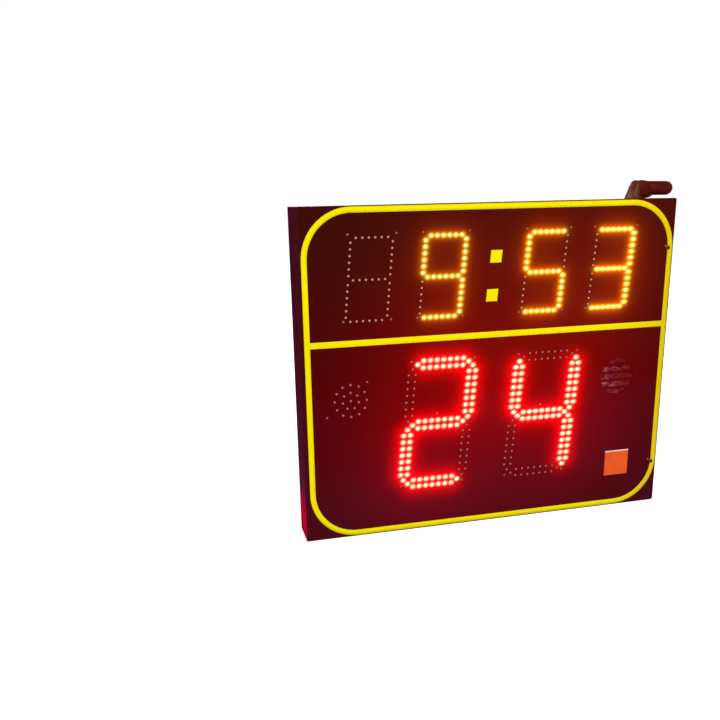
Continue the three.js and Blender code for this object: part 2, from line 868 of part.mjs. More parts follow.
function horn() {
  const flare = (wall) => hornFlareDepthShares.map((depthShare, i) => (
    new THREE.Vector2(hornMouthRadius * hornFlareRadiusShares[i] + wall, hornThroatDepth * depthShare)
  ));
  const profile = [
    new THREE.Vector2(0, hornThroatDepth),
    ...flare(0).reverse(),
    ...flare(hornWall),
    new THREE.Vector2(hornDriverRadius, hornThroatDepth + hornWall),
    new THREE.Vector2(hornDriverRadius, hornThroatDepth + hornWall + hornDriverDepth),
    new THREE.Vector2(0, hornThroatDepth + hornWall + hornDriverDepth),
  ];
  return new THREE.LatheGeometry(profile, roundSides)
    .translate(hornX, hornFrontY, hornZ);
}

function hornStrap() {
  const bridgeY = hornBackY + gap;
  const footY = backSheetY - gap;
  const t = hornStrapThickness;
  const low = hornZ - hornStrapWidth / 2;
  const high = hornZ + hornStrapWidth / 2;
  const legs = [-1, 1].map((side) => {
    const x = hornX + side * hornStrapReach;
    return block(x - t / 2, x + t / 2, bridgeY, footY, low, high);
  });
  const feet = [-1, 1].map((side) => {
    const near = hornX + side * hornStrapReach;
    const far = near + side * hornFootLength;
    return block(Math.min(near, far), Math.max(near, far), footY - t, footY, low, high);
  });
  const bridge = block(
    hornX - hornStrapReach, hornX + hornStrapReach, bridgeY, bridgeY + t, low, high,
  );
  return join(bridge, ...legs, ...feet);
}

// Electronics on the back panel

const standoffY = backSheetY - gap;
const rearBoardY = standoffY - standoffHeight;
const rearBoardFrontY = rearBoardY - boardThickness;

function rearBoard(x, z, width, height) {
  const plate = block(
    x - width / 2, x + width / 2, rearBoardFrontY, rearBoardY, z - height / 2, z + height / 2,
  );
  const pillars = [[-1, -1], [1, -1], [1, 1], [-1, 1]].map(([side, up]) => rodY(
    x + side * (width / 2 - standoffInset), z + up * (height / 2 - standoffInset),
    standoffRadius, standoffRadius, rearBoardY - boardThickness / 2, standoffY, nutSides,
  ));
  return [plate, ...pillars];
}

function onRearBoard(x, z, width, height, thickness) {
  return block(
    x - width / 2, x + width / 2, rearBoardFrontY - thickness, rearBoardFrontY + boardThickness / 2,
    z - height / 2, z + height / 2,
  );
}

const controlTopPlugZ = controlZ + controlHeight / 2 - plugHeight;
const controlBottomPlugZ = controlZ - controlHeight / 2 + plugHeight;

function controlBoard() {
  const plugXs = [-1, 1].map((side) => controlX + side * controlWidth / 4);
  return join(
    ...rearBoard(controlX, controlZ, controlWidth, controlHeight),
    onRearBoard(controlX, controlZ, processorSize, processorSize, processorThickness),
    ...plugXs.map((x) => onRearBoard(x, controlTopPlugZ, plugWidth, plugHeight, plugDepth)),
    ...plugXs.map((x) => onRearBoard(x, controlBottomPlugZ, plugWidth, plugHeight, plugDepth)),
  );
}

function radioBoard() {
  return join(
    ...rearBoard(radioX, radioZ, radioWidth, radioHeight),
    onRearBoard(radioX - radioCanShift, radioZ, radioCanWidth, radioCanHeight, radioCanThickness),
  );
}

function powerSupply() {
  const rear = backSheetY - gap;
  const front = rear - supplyDepth;
  const left = supplyX - supplyWidth / 2;
  const cage = block(
    left, supplyX + supplyWidth / 2, front, rear, supplyZ - supplyHeight / 2, supplyZ + supplyHeight / 2,
  );
  const terminals = block(
    left - terminalWidth, left + terminalWidth / 2, rear - terminalDepth, rear,
    supplyZ - terminalHeight / 2, supplyZ + terminalHeight / 2,
  );
  return join(cage, terminals);
}

// Wiring: each lead is a chain of straight stretches between the places where it is fixed.

function stretch([ax, ay, az], [bx, by, bz], thickness, width) {
  const t = thickness / 2;
  const w = width / 2;
  const across = Math.abs(bx - ax) > Math.abs(bz - az) ? [t, t, w] : [w, t, t];
  const deep = Math.abs(by - ay) > 0 ? [w, t, t] : across;
  return block(
    Math.min(ax, bx) - deep[0], Math.max(ax, bx) + deep[0],
    Math.min(ay, by) - deep[1], Math.max(ay, by) + deep[1],
    Math.min(az, bz) - deep[2], Math.max(az, bz) + deep[2],
  );
}

function lead(routes, thickness, width) {
  const stretches = routes.flatMap((route) => (
    route.slice(1).map((point, i) => stretch(route[i], point, thickness, width))
  ));
  return join(...stretches);
}

const plugFaceY = boardBackY + plugDepth + gap + ribbonThickness / 2;
const trunkY = plugFaceY + trunkSetback;
const controlPlugFaceY = rearBoardFrontY - plugDepth - gap - ribbonThickness / 2;

function amberHarness() {
  const startX = controlX - controlWidth / 4;
  const drops = amberDigits.map(({ x, z }) => [[x, plugFaceY, z], [x, trunkY, z]]);
  return lead([
    [[amberRowShift - amberOuterX, trunkY, amberZ], [amberRowShift + amberOuterX, trunkY, amberZ]],
    ...drops,
    [[startX, trunkY, amberZ], [startX, trunkY, controlTopPlugZ],
      [startX, controlPlugFaceY, controlTopPlugZ]],
  ], ribbonThickness, ribbonWidth);
}

function redHarness() {
  const startX = controlX - controlWidth / 4;
  const [left, right] = redDigits;
  return lead([
    [[left.x, trunkY, redZ], [right.x, trunkY, redZ]],
    [[left.x, plugFaceY, redZ], [left.x, trunkY, redZ]],
    [[right.x, plugFaceY, redZ], [right.x, trunkY, redZ]],
    [[startX, trunkY, redZ], [startX, trunkY, controlBottomPlugZ],
      [startX, controlPlugFaceY, controlBottomPlugZ]],
  ], ribbonThickness, ribbonWidth);
}

function lampLead() {
  const y = rearBoardFrontY - plugDepth / 2;
  const edge = controlX - controlWidth / 2 - gap - leadWidth / 2;
  const z = controlZ;
  return lead([
    [[lampX, plugFaceY + leadWidth / 2, lampZ], [lampX, y, lampZ]],
    [[lampX, y, lampZ], [lampX, y, z]],
    [[lampX, y, z], [edge, y, z]],
  ], leadWidth, leadWidth);
}

const sideLeadX = controlX + controlWidth / 2 + gap + leadWidth / 2;

function hornLead() {
  const y = rearBoardFrontY - leadWidth;
  return lead([
    [[sideLeadX, y, controlZ], [hornX, y, controlZ]],
    [[hornX, y, controlZ], [hornX, y, hornZ + hornDriverRadius + gap + leadWidth / 2]],
  ], leadWidth, leadWidth);
}

function dcLead() {
  const x = supplyX - supplyWidth / 2 - terminalWidth - gap - leadWidth / 2;
  const y = backSheetY - gap - terminalDepth / 2;
  const top = controlZ - controlHeight / 2 - gap - leadWidth / 2;
  return lead([
    [[x, y, supplyZ + terminalHeight / 4], [x, y, top]],
  ], leadWidth, leadWidth);
}

function mainsLead() {
  const x = supplyX - supplyWidth / 2 - terminalWidth - gap - leadWidth / 2;
  const y = backSheetY - gap - terminalDepth / 2;
  const inletRearY = backY - inletBodyDepth - gap - leadWidth / 2;
  const low = plateZ - plateHeight / 2 - leadWidth;
  return lead([
    [[inletX, inletRearY, plateZ], [inletX, inletRearY, low]],
    [[inletX, inletRearY, low], [x, inletRearY, low]],
    [[x, inletRearY, low], [x, y, low]],
    [[x, y, low], [x, y, supplyZ - terminalHeight / 4]],
  ], leadWidth, leadWidth);
}

function aerialCoax() {
  const top = innerTop - aerialBushTail - gap - coaxWidth / 2;
  const endX = radioX + radioWidth / 4;
  const y = rearBoardFrontY - gap - coaxWidth / 2;
  return lead([
    [[aerialX, aerialY, top], [aerialX, y, top]],
    [[aerialX, y, top], [endX, y, top]],
    [[endX, y, top], [endX, y, radioZ]],
  ], coaxWidth, coaxWidth);
}

// Service plate and what it carries

function servicePlate() {
  const rim = rectangle(plateX, plateZ, plateWidth, plateHeight);
  return sheet(outline(rim, fittingHoles()), backY, plateFaceY);
}

function powerInlet() {
  const rear = plateFaceY + inletFlangeThickness;
  const floor = backY - inletBodyDepth;
  const flange = block(
    inletX - inletFlangeWidth / 2, inletX + inletFlangeWidth / 2, plateFaceY, rear,
    plateZ - inletFlangeHeight / 2, plateZ + inletFlangeHeight / 2,
  );
  const body = block(
    inletX - inletBodyWidth / 2, inletX + inletBodyWidth / 2, floor, plateFaceY + inletFlangeThickness / 2,
    plateZ - inletBodyHeight / 2, plateZ + inletBodyHeight / 2,
  );
  const socket = block(
    inletX - socketWidth / 2, inletX + socketWidth / 2, rear - socketDepth, rear + overrun,
    socketZ - socketHeight / 2, socketZ + socketHeight / 2,
  );
  const c = drawerClearance;
  const bay = block(
    inletX - drawerWidth / 2 - c, inletX + drawerWidth / 2 + c, rear - drawerDepth - c, rear + overrun,
    drawerZ - drawerHeight / 2 - c, drawerZ + drawerHeight / 2 + c,
  );
  const shell = cut(join(flange, body), socket, bay);
  const pins = [-1, 0, 1].map((place) => block(
    inletX + place * socketPinSpacing - socketPinThickness / 2,
    inletX + place * socketPinSpacing + socketPinThickness / 2,
    rear - socketDepth - socketPinThickness, rear - socketDepth + socketPinLength,
    socketZ - place * place * socketPinRise + socketPinRise - socketPinHeight / 2,
    socketZ - place * place * socketPinRise + socketPinRise + socketPinHeight / 2,
  ));
  return join(shell, ...pins);
}

function fuseDrawer() {
  const rear = plateFaceY + inletFlangeThickness;
  const body = block(
    inletX - drawerWidth / 2, inletX + drawerWidth / 2, rear - drawerDepth, rear,
    drawerZ - drawerHeight / 2, drawerZ + drawerHeight / 2,
  );
  const grip = block(
    inletX - drawerWidth / 2, inletX + drawerWidth / 2, rear - drawerGripProud, rear + drawerGripProud,
    drawerZ + drawerHeight / 2 - drawerGripHeight, drawerZ + drawerHeight / 2,
  );
  return join(body, grip);
}

const bezelFaceY = plateFaceY + bezelFlangeThickness;
const rockerPivotY = bezelFaceY - rockerPivotDepth;

function switchBezel() {
  const flange = block(
    rockerX - bezelWidth / 2, rockerX + bezelWidth / 2, plateFaceY, bezelFaceY,
    plateZ - bezelHeight / 2, plateZ + bezelHeight / 2,
  );
  const body = block(
    rockerX - bezelBodyWidth / 2, rockerX + bezelBodyWidth / 2, backY - bezelBodyDepth,
    plateFaceY + bezelFlangeThickness / 2, plateZ - bezelBodyHeight / 2, plateZ + bezelBodyHeight / 2,
  );
  const well = block(
    rockerX - rockerWidth / 2 - rockerSideClearance, rockerX + rockerWidth / 2 + rockerSideClearance,
    rockerPivotY - rockerRootDepth - rockerSwing, bezelFaceY + overrun,
    plateZ - rockerHeight / 2 - rockerSwing, plateZ + rockerHeight / 2 + rockerSwing,
  );
  return cut(join(flange, body), well);
}

// The rocker's face is hollowed by a shallow arc, drawn in Y and Z from its pivot.
function rockerPaddle() {
  const half = rockerHeight / 2;
  const face = rockerPivotDepth + rockerCrown;
  const sag = rockerRadius - Math.sqrt(rockerRadius ** 2 - half ** 2) - rockerCrown;
  const curve = Array.from({ length: arcSteps + 1 }, (_, i) => {
    const z = half - (i / arcSteps) * rockerHeight;
    const dip = rockerRadius - Math.sqrt(rockerRadius ** 2 - z ** 2);
    return [face + dip - sag - rockerCrown, z];
  });
  const root = rockerRootHeight / 2;
  return outline([[-rockerRootDepth, -root], ...curve.reverse(), [-rockerRootDepth, root]]);
}

function addRocker() {
  const pivot = new THREE.Group();
  pivot.position.set(rockerX, rockerPivotY, plateZ);
  pivot.rotation.x = rockerTilt;
  shotClock.add(pivot);
  add('switch_rocker', lying(rockerPaddle(), -rockerWidth / 2, rockerWidth / 2), redPlastic, pivot);
}

function channelSwitch() {
  const flangeY = plateFaceY + channelFlangeThickness;
  return join(
    block(knobX - channelBodySize / 2, knobX + channelBodySize / 2,
      backSheetY - channelBodyDepth, backSheetY, plateZ - channelBodySize / 2, plateZ + channelBodySize / 2),
    rodY(knobX, plateZ, bushingRadius, bushingRadius, backSheetY - channelBodyDepth / 2,
      plateFaceY + channelFlangeThickness / 2, smallSides),
    rodY(knobX, plateZ, channelFlangeRadius, channelFlangeRadius, plateFaceY, flangeY, roundSides),
    rodY(knobX, plateZ, spindleRadius, spindleRadius, plateFaceY, flangeY + spindleLength, smallSides),
  );
}

function channelKnob() {
  const seatY = plateFaceY + channelFlangeThickness + gap;
  const faceY = seatY + knobHeight;
  const flutes = circle(knobX, plateZ, knobRadius, knobFlutes).map(([x, z]) => (
    rodY(x, z, knobFluteRadius, knobFluteRadius, seatY - overrun, faceY + overrun, nutSides)
  ));
  const bore = rodY(knobX, plateZ, spindleRadius + gap, spindleRadius + gap,
    seatY - overrun, plateFaceY + channelFlangeThickness + spindleLength + gap, smallSides);
  const grip = join(
    rodY(knobX, plateZ, knobRadius, knobRadius, seatY, faceY - edgeChamfer, knobSides),
    rodY(knobX, plateZ, knobRadius, knobRadius - edgeChamfer, faceY - edgeChamfer - gap, faceY,
      knobSides),
  );
  const pointer = block(
    knobX - knobPointerWidth / 2, knobX + knobPointerWidth / 2, faceY - knobPointerProud,
    faceY + knobPointerProud, plateZ, plateZ + knobRadius - 2 * edgeChamfer - knobFluteRadius,
  );
  return join(cut(grip, bore, ...flutes), pointer);
}

function buttonHousing() {
  const rimY = plateFaceY + buttonHousingHeight;
  const housing = join(
    rodY(buttonX, plateZ, buttonHousingRadius, buttonHousingRadius - edgeChamfer, plateFaceY, rimY,
      roundSides),
    rodY(buttonX, plateZ, buttonBarrelRadius, buttonBarrelRadius, backY - buttonBarrelDepth,
      plateFaceY + buttonHousingHeight / 2, roundSides),
  );
  const well = rodY(buttonX, plateZ, buttonCapRadius + buttonClearance, buttonCapRadius + buttonClearance,
    rimY - buttonCapLength - buttonTravel, rimY + overrun, roundSides);
  return cut(housing, well);
}

function testButton() {
  const topY = plateFaceY + buttonHousingHeight + buttonCapProud;
  return join(
    rodY(buttonX, plateZ, buttonCapRadius, buttonCapRadius, topY - buttonCapLength, topY - edgeChamfer,
      roundSides),
    rodY(buttonX, plateZ, buttonCapRadius, buttonCapRadius - edgeChamfer, topY - edgeChamfer - gap, topY,
      roundSides),
  );
}

// Aerial: bush and lock nut in the top profile, a foot that turns on the bush, and an arm that folds on
// the foot's pin. The foot's and the arm's shapes are drawn round the fold pin.

const pivotX = aerialX + aerialPivotShift;
const pivotZ = caseHeight + aerialPivotRise;
const cheekOuter = aerialTongueHalf + aerialRunning + aerialCheekThickness;

function aerialBush() {
  return rodZ(
    aerialX, aerialY, aerialBushRadius, innerTop - aerialBushTail, caseHeight + aerialSocketDepth - gap,
    smallSides,
  );
}

function aerialNut() {
  const top = innerTop - gap;
  const low = top - aerialNutHeight;
  return cut(
    rodZ(aerialX, aerialY, aerialNutRadius, low, top, nutSides),
    rodZ(aerialX, aerialY, aerialBushRadius + gap, low - overrun, top + overrun, smallSides),
  );
}

function aerialFoot() {
  const profile = [
    [0, gap], [aerialFootRadius, gap], [aerialFootRadius, aerialFootEdge],
    [aerialShoulderRadius, aerialShoulderRise], [aerialNeckRadius, aerialPivotRise], [0, aerialPivotRise],
  ].map(([radius, rise]) => new THREE.Vector2(radius, rise));
  const foot = new THREE.LatheGeometry(profile, roundSides).rotateX(Math.PI / 2)
    .translate(aerialX, aerialY, caseHeight);
  const reach = aerialFootRadius + overrun;
  const sweepRadius = aerialKnuckleRadius + aerialRunning;
  const armLow = pivotZ - sweepRadius;
  const sweeps = [-1, 1].map((side) => {
    const near = side * (aerialTongueHalf - gap);
    const far = side * reach;
    return rodY(pivotX, pivotZ, sweepRadius, sweepRadius, aerialY + Math.min(near, far),
      aerialY + Math.max(near, far), roundSides);
  });
  const armSweep = block(pivotX, pivotX + 2 * reach, aerialY - reach, aerialY + reach, armLow,
    pivotZ + reach);
  const socket = rodZ(aerialX, aerialY, aerialBushRadius + gap, caseHeight - overrun,
    caseHeight + aerialSocketDepth, smallSides);
  const pinHole = rodY(pivotX, pivotZ, aerialPinRadius + gap, aerialPinRadius + gap, aerialY - reach,
    aerialY + reach, smallSides);
  const tongue = rodY(pivotX, pivotZ, aerialTongueRadius, aerialTongueRadius,
    aerialY - aerialTongueHalf, aerialY + aerialTongueHalf, roundSides);
  return cut(join(cut(foot, ...sweeps, armSweep, socket), tongue), pinHole);
}

function aerialPin() {
  const end = cheekOuter + gap;
  const heads = [-1, 1].map((side) => {
    const seat = aerialY + side * end;
    const top = seat + side * aerialPinHeadHeight;
    return rodY(pivotX, pivotZ, aerialPinHeadRadius, aerialPinHeadRadius, Math.min(seat, top),
      Math.max(seat, top), smallSides);
  });
  const half = end + aerialPinHeadHeight / 2;
  const shank = rodY(pivotX, pivotZ, aerialPinRadius, aerialPinRadius, aerialY - half, aerialY + half,
    smallSides);
  return join(shank, ...heads);
}

function aerialArm() {
  const knuckle = rodY(pivotX, pivotZ, aerialKnuckleRadius, aerialKnuckleRadius,
    aerialY - cheekOuter, aerialY + cheekOuter, roundSides);
  const capCentre = aerialReach - aerialTipRadius;
  const cap = arc(0, capCentre, aerialTipRadius, 0, Math.PI / 2, arcSteps)
    .map(([radius, along]) => new THREE.Vector2(Math.max(radius, 0), along));
  cap[cap.length - 1].x = 0;
  const profile = [new THREE.Vector2(0, 0), new THREE.Vector2(aerialArmRadius, 0), ...cap];
  const arm = new THREE.LatheGeometry(profile, armSides).rotateX(Math.PI / 2).rotateY(Math.PI / 2)
    .translate(pivotX, aerialY, pivotZ);
  const slotHalf = aerialTongueHalf + aerialRunning;
  const slotRadius = aerialTongueRadius + aerialRunning;
  const reach = aerialKnuckleRadius + overrun;
  const slot = rodY(pivotX, pivotZ, slotRadius, slotRadius, aerialY - slotHalf, aerialY + slotHalf,
    roundSides);
  const behind = block(pivotX - reach, pivotX, aerialY - slotHalf, aerialY + slotHalf,
    pivotZ - reach, pivotZ + reach);
  const pinHole = rodY(pivotX, pivotZ, aerialPinRadius + gap, aerialPinRadius + gap, aerialY - reach,
    aerialY + reach, smallSides);
  return cut(join(knuckle, arm), slot, behind, pinHole);
}

// Assembly

add('front_panel', frontPanel(), darkPanel);
add('frame_left', leftProfile(), darkCase);
add('frame_right', rightProfile(), darkCase);
add('frame_top', topProfile(), darkCase);
add('frame_bottom', crossProfile(0, 1), darkCase);
add('corner_bracket_top_left', cornerBracket(-1, 1), greyMetal);
add('corner_bracket_top_right', cornerBracket(1, 1), greyMetal);
add('corner_bracket_bottom_left', cornerBracket(-1, -1), greyMetal);
add('corner_bracket_bottom_right', cornerBracket(1, -1), greyMetal);
add('back_panel', backPanel(), darkCase);
add('mounting_rail_left', mountingRail(-railX), greyMetal);
add('mounting_rail_right', mountingRail(railX), greyMetal);
add('panel_screw_upper', panelScrew(screwUpperZ), darkSteel);
add('panel_screw_lower', panelScrew(screwLowerZ), darkSteel);

add('border_stripe', borderStripe(), yellowPrint);
add('colon_upper', colonSquare(colonRise), yellowPrint);
add('colon_lower', colonSquare(-colonRise), yellowPrint);
add('front_label', frontLabel(), orangeLabel);

amberDigits.forEach((digit, i) => {
  add(`amber_digit_${i + 1}`, digitBlock(digit), digit.material);
  add(`amber_board_${i + 1}`, digitBoard(digit), greenBoard);
});
redDigits.forEach((digit, i) => {
  add(`red_digit_${i + 1}`, digitBlock(digit), digit.material);
  add(`red_board_${i + 1}`, digitBoard(digit), greenBoard);
});
add('lamp_cluster', lampBlock(), clearLed);
add('lamp_board', lampBoard(), greenBoard);

add('horn', horn(), hornMetal);
add('horn_strap', hornStrap(), greyMetal);
add('control_board', controlBoard(), greenBoard);
add('radio_board', radioBoard(), greenBoard);
add('power_supply', powerSupply(), greyMetal);

add('amber_harness', amberHarness(), cable);
add('red_harness', redHarness(), cable);
add('lamp_lead', lampLead(), cable);
add('horn_lead', hornLead(), cable);
add('dc_lead', dcLead(), cable);
add('mains_lead', mainsLead(), cable);
add('aerial_coax', aerialCoax(), cable);

add('service_plate', servicePlate(), greyMetal);
add('power_inlet', powerInlet(), blackPlastic);
add('fuse_drawer', fuseDrawer(), blackPlastic);
add('switch_bezel', switchBezel(), blackPlastic);
addRocker();
add('channel_switch', channelSwitch(), blackPlastic);
add('channel_knob', channelKnob(), blackPlastic);
add('button_housing', buttonHousing(), greyMetal);
add('test_button', testButton(), redPlastic);

add('aerial_bush', aerialBush(), greyMetal);
add('aerial_nut', aerialNut(), greyMetal);
add('aerial_foot', aerialFoot(), aerialRubber);
add('aerial_pin', aerialPin(), darkSteel);
add('aerial_arm', aerialArm(), aerialRubber);

export default shotClock;
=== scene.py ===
# The looks of the shot clock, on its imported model. Lengths are millimetres, and become metres as each
# piece is put into the scene. The front faces -Y, and +X is the viewer's right.

import math

import bmesh
import bpy
import numpy as np
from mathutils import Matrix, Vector


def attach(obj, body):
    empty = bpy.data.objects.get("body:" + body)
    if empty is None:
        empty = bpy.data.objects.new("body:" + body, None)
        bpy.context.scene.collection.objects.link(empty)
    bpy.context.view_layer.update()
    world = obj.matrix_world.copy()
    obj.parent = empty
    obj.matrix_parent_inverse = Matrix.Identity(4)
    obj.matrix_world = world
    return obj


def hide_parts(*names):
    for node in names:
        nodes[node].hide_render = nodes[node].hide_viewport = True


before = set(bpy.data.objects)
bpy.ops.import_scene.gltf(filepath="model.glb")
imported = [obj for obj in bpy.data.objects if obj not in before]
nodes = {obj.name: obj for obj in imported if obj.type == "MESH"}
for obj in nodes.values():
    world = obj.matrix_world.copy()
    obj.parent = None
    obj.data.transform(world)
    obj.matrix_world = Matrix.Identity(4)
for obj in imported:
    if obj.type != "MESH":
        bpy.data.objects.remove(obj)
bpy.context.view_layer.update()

METRES = 0.001

# Places that the pieces share with the solids: depths from front to back, then the parts' middles
FRONT = -33.0
PANEL_BACK = -29.0
BEHIND_PANEL = -28.7
BLOCK_BACK = -26.7
FRONT_FLANGE_BACK = -26.2
BACK_FLANGE = (28.5, 31.0)
CASE_BACK = 33.0
PLATE_FACE = 35.0
HALF_WIDTH = 360.0
HEIGHT = 600.0
WALL = 3.0
LIP = 8.0
FRONT_REACH, BACK_REACH = 14.0, 18.0
PLATE_X, PLATE_Z = -100.8, 92.0
KNOB_X = -78.8
HORN_X, HORN_Z = 259.92, 267.0
LAMP_X, LAMP_Z = -271.01, 262.02
AERIAL_X, AERIAL_Y = 291.0, -3.0
FOLD_X, FOLD_Z = 296.0, 619.0
RAIL_X = 270.0
SCREW_X, SCREW_ZS = 349.4, (509.3, 84.2)
LEAN = math.tan(math.radians(5.2))

# Camera, in the frame of the photograph
camera_data = bpy.data.cameras.new("camera")
camera = bpy.data.objects.new("camera", camera_data)
bpy.context.scene.collection.objects.link(camera)
bpy.context.scene.camera = camera
camera_data.sensor_width = 36.0
camera_data.lens = 37.89
camera_data.shift_y = 0.05528
camera.location = (-0.5576, -1.3092, 0.6104)
camera.rotation_euler = [math.radians(a) for a in (75.155, 1.217, -13.705)]
bpy.context.scene.view_settings.view_transform = "Standard"


def linear(red, green, blue):
    """A screen colour from 0 to 255 as linear light: ((c + 0.055) / 1.055) to the power 2.4."""
    c = np.array([red, green, blue], float) / 255
    return tuple(np.where(c <= 0.04045, c / 12.92, ((c + 0.055) / 1.055) ** 2.4)) + (1.0,)


# Light and backdrop

def feed(tree, target, inputs):
    """Gives each named input of a node a value of its own, or wires it to another node's output."""
    for name, value in inputs.items():
        if isinstance(value, bpy.types.NodeSocket):
            tree.links.new(value, target.inputs[name])
        else:
            target.inputs[name].default_value = value


def add_node(tree, kind, inputs=None, **settings):
    """A new node with the given inputs and settings."""
    made = tree.nodes.new(kind)
    for name, value in settings.items():
        setattr(made, name, value)
    feed(tree, made, inputs or {})
    return made


def daylight(tree, lit, seen):
    """Plain light for the object, and white behind it wherever the eye, a gloss or a clear part looks."""
    path = add_node(tree, "ShaderNodeLightPath").outputs
    looking = path["Is Camera Ray"]
    for ray in ("Is Glossy Ray", "Is Transmission Ray"):
        looking = add_node(tree, "ShaderNodeMath", {0: looking, 1: path[ray]}, operation="MAXIMUM").outputs[0]
    blend = add_node(tree, "ShaderNodeMixShader", {0: looking, 1: lit.outputs[0], 2: seen.outputs[0]})
    return blend.outputs[0]


WHITE = (1.0, 1.0, 1.0, 1.0)
world = bpy.data.worlds.new("studio")
bpy.context.scene.world = world
world.use_nodes = True
sky = world.node_tree
sky.nodes.clear()
soft_light = add_node(sky, "ShaderNodeBackground", {"Color": WHITE, "Strength": 0.55})
white_wall = add_node(sky, "ShaderNodeBackground", {"Color": WHITE, "Strength": 1.0})
add_node(sky, "ShaderNodeOutputWorld", {"Surface": daylight(sky, soft_light, white_wall)})

LIT_PLACE = Vector((0.0, 0.0, 0.3))


def soft_box(name, place, size, power):
    """A square lamp at place, turned to the middle of the clock. Lengths are in metres, power in watts."""
    data = bpy.data.lights.new(name, "AREA")
    data.size = size
    data.energy = power
    lamp = bpy.data.objects.new(name, data)
    bpy.context.scene.collection.objects.link(lamp)
    lamp.location = place
    lamp.rotation_euler = (LIT_PLACE - Vector(place)).to_track_quat("-Z", "Y").to_euler()


soft_box("key_lamp", (-1.6, -3.2, 2.6), 2.4, 75.0)
soft_box("fill_lamp", (2.8, -2.4, 1.8), 2.4, 34.0)
soft_box("rear_lamp", (0.6, 3.4, 2.4), 2.4, 60.0)
soft_box("side_lamp", (-3.4, 0.4, 1.6), 2.0, 26.0)


# Shapes: rows of points in millimetres with their faces

class Shape:
    """Points, faces of four corners (quads), and faces of any other count (odd)."""

    def __init__(self, points, quads=None, odd=None):
        self.points = np.asarray(points, float).reshape(-1, 3)
        self.quads = np.zeros((0, 4), int) if quads is None else np.asarray(quads, int).reshape(-1, 4)
        self.odd = list(odd or [])


def joined(*shapes):
    """Several shapes as one, each keeping its own points."""
    points, quads, odd, first = [], [], [], 0
    for shape in shapes:
        points.append(shape.points)
        quads.append(shape.quads + first)
        odd += [[i + first for i in face] for face in shape.odd]
        first += len(shape.points)
    return Shape(np.vstack(points), np.vstack(quads), odd)


def repeated(shape, places):
    """The shape moved to each place: points of every copy = shape + place."""
    places = np.asarray(places, float).reshape(-1, 3)
    count, size = len(places), len(shape.points)
    points = (places[:, None, :] + shape.points[None]).reshape(-1, 3)
    starts = np.arange(count) * size
    quads = (starts[:, None, None] + shape.quads[None]).reshape(-1, 4)
    odd = [[i + int(s) for i in face] for s in starts for face in shape.odd]
    return Shape(points, quads, odd)


def spun(shape, axis, degrees):
    """The shape turned about an axis: the other two places a, b become a cos - b sin, a sin + b cos."""
    a, b = [i for i in range(3) if i != "xyz".index(axis)]
    turn = math.radians(degrees) * (-1 if axis == "y" else 1)
    points = shape.points.copy()
    first, second = shape.points[:, a], shape.points[:, b]
    points[:, a] = first * math.cos(turn) - second * math.sin(turn)
    points[:, b] = first * math.sin(turn) + second * math.cos(turn)
    return Shape(points, shape.quads, shape.odd)


def skin(grid, closed=True):
    """Faces between the lines of a grid of points; a closed grid joins its last column to its first."""
    rows, columns = grid.shape[:2]
    number = np.arange(rows * columns).reshape(rows, columns)
    if closed:
        number = np.hstack([number, number[:, :1]])
    corners = [number[:-1, :-1], number[:-1, 1:], number[1:, 1:], number[1:, :-1]]
    return Shape(grid, np.stack(corners, -1).reshape(-1, 4))


def laid(across, up, along, axis):
    """Turns a drawing (across, up) and its depth (along) so that the depth runs on the named axis."""
    rows = {"x": (along, across, up), "y": (across, along, up), "z": (across, up, along)}[axis]
    return np.stack(np.broadcast_arrays(*rows), -1)


def angles(sides):
    """Even angles round a circle."""
    return np.arange(sides) * 2 * math.pi / sides


def turned(profile, sides, centre=(0.0, 0.0, 0.0)):
    """A profile of (radius, depth) carried round the Y axis: across = r cos t, up = r sin t. An end of no
    radius closes in a point, any other end in a flat face."""
    profile = np.asarray(profile, float)
    rim = profile[profile[:, 0] > 1e-6]
    t = angles(sides)
    shape = skin(laid(rim[:, :1] * np.cos(t), rim[:, :1] * np.sin(t), rim[:, 1:], "y"))
    for end, ring in ((0, 0), (-1, len(rim) - 1)):
        loop = list(range(ring * sides, (ring + 1) * sides))
        if profile[end, 0] > 1e-6:
            shape.odd.append(loop)
        else:
            tip = len(shape.points)
            shape.points = np.vstack([shape.points, laid(0.0, 0.0, profile[end, 1], "y")])
            shape.odd += [[loop[i], loop[(i + 1) % sides], tip] for i in range(sides)]
    return Shape(shape.points + np.asarray(centre, float), shape.quads, shape.odd)


def ring_of(profile, sides):
    """A closed profile of (radius, depth) carried round the Y axis as in turned, open in the middle."""
    profile = np.asarray(profile, float)
    t = angles(sides)
    shape = skin(laid(profile[:, :1] * np.cos(t), profile[:, :1] * np.sin(t), profile[:, 1:], "y"))
    last = (len(profile) - 1) * sides
    here = np.arange(sides)
    following = (here + 1) % sides
    closing = np.stack([last + here, last + following, following, here], -1)
    return Shape(shape.points, np.vstack([shape.quads, closing]))


def inset(outline, distance):
    """The outline moved inwards: each corner goes along the sum of its two edge normals, divided by one
    plus their cosine, so that every edge moves by the distance."""
    outline = np.asarray(outline, float)
    ahead = np.roll(outline, -1, 0) - outline
    ahead /= np.linalg.norm(ahead, axis=1)[:, None]
    normal = np.stack([-ahead[:, 1], ahead[:, 0]], 1)
    before = np.roll(normal, 1, 0)
    x, y = outline[:, 0], outline[:, 1]
    area = np.sum(x * np.roll(y, -1) - y * np.roll(x, -1))
    share = 1 + np.sum(normal * before, 1)
    return outline + math.copysign(distance, area) * (normal + before) / share[:, None]


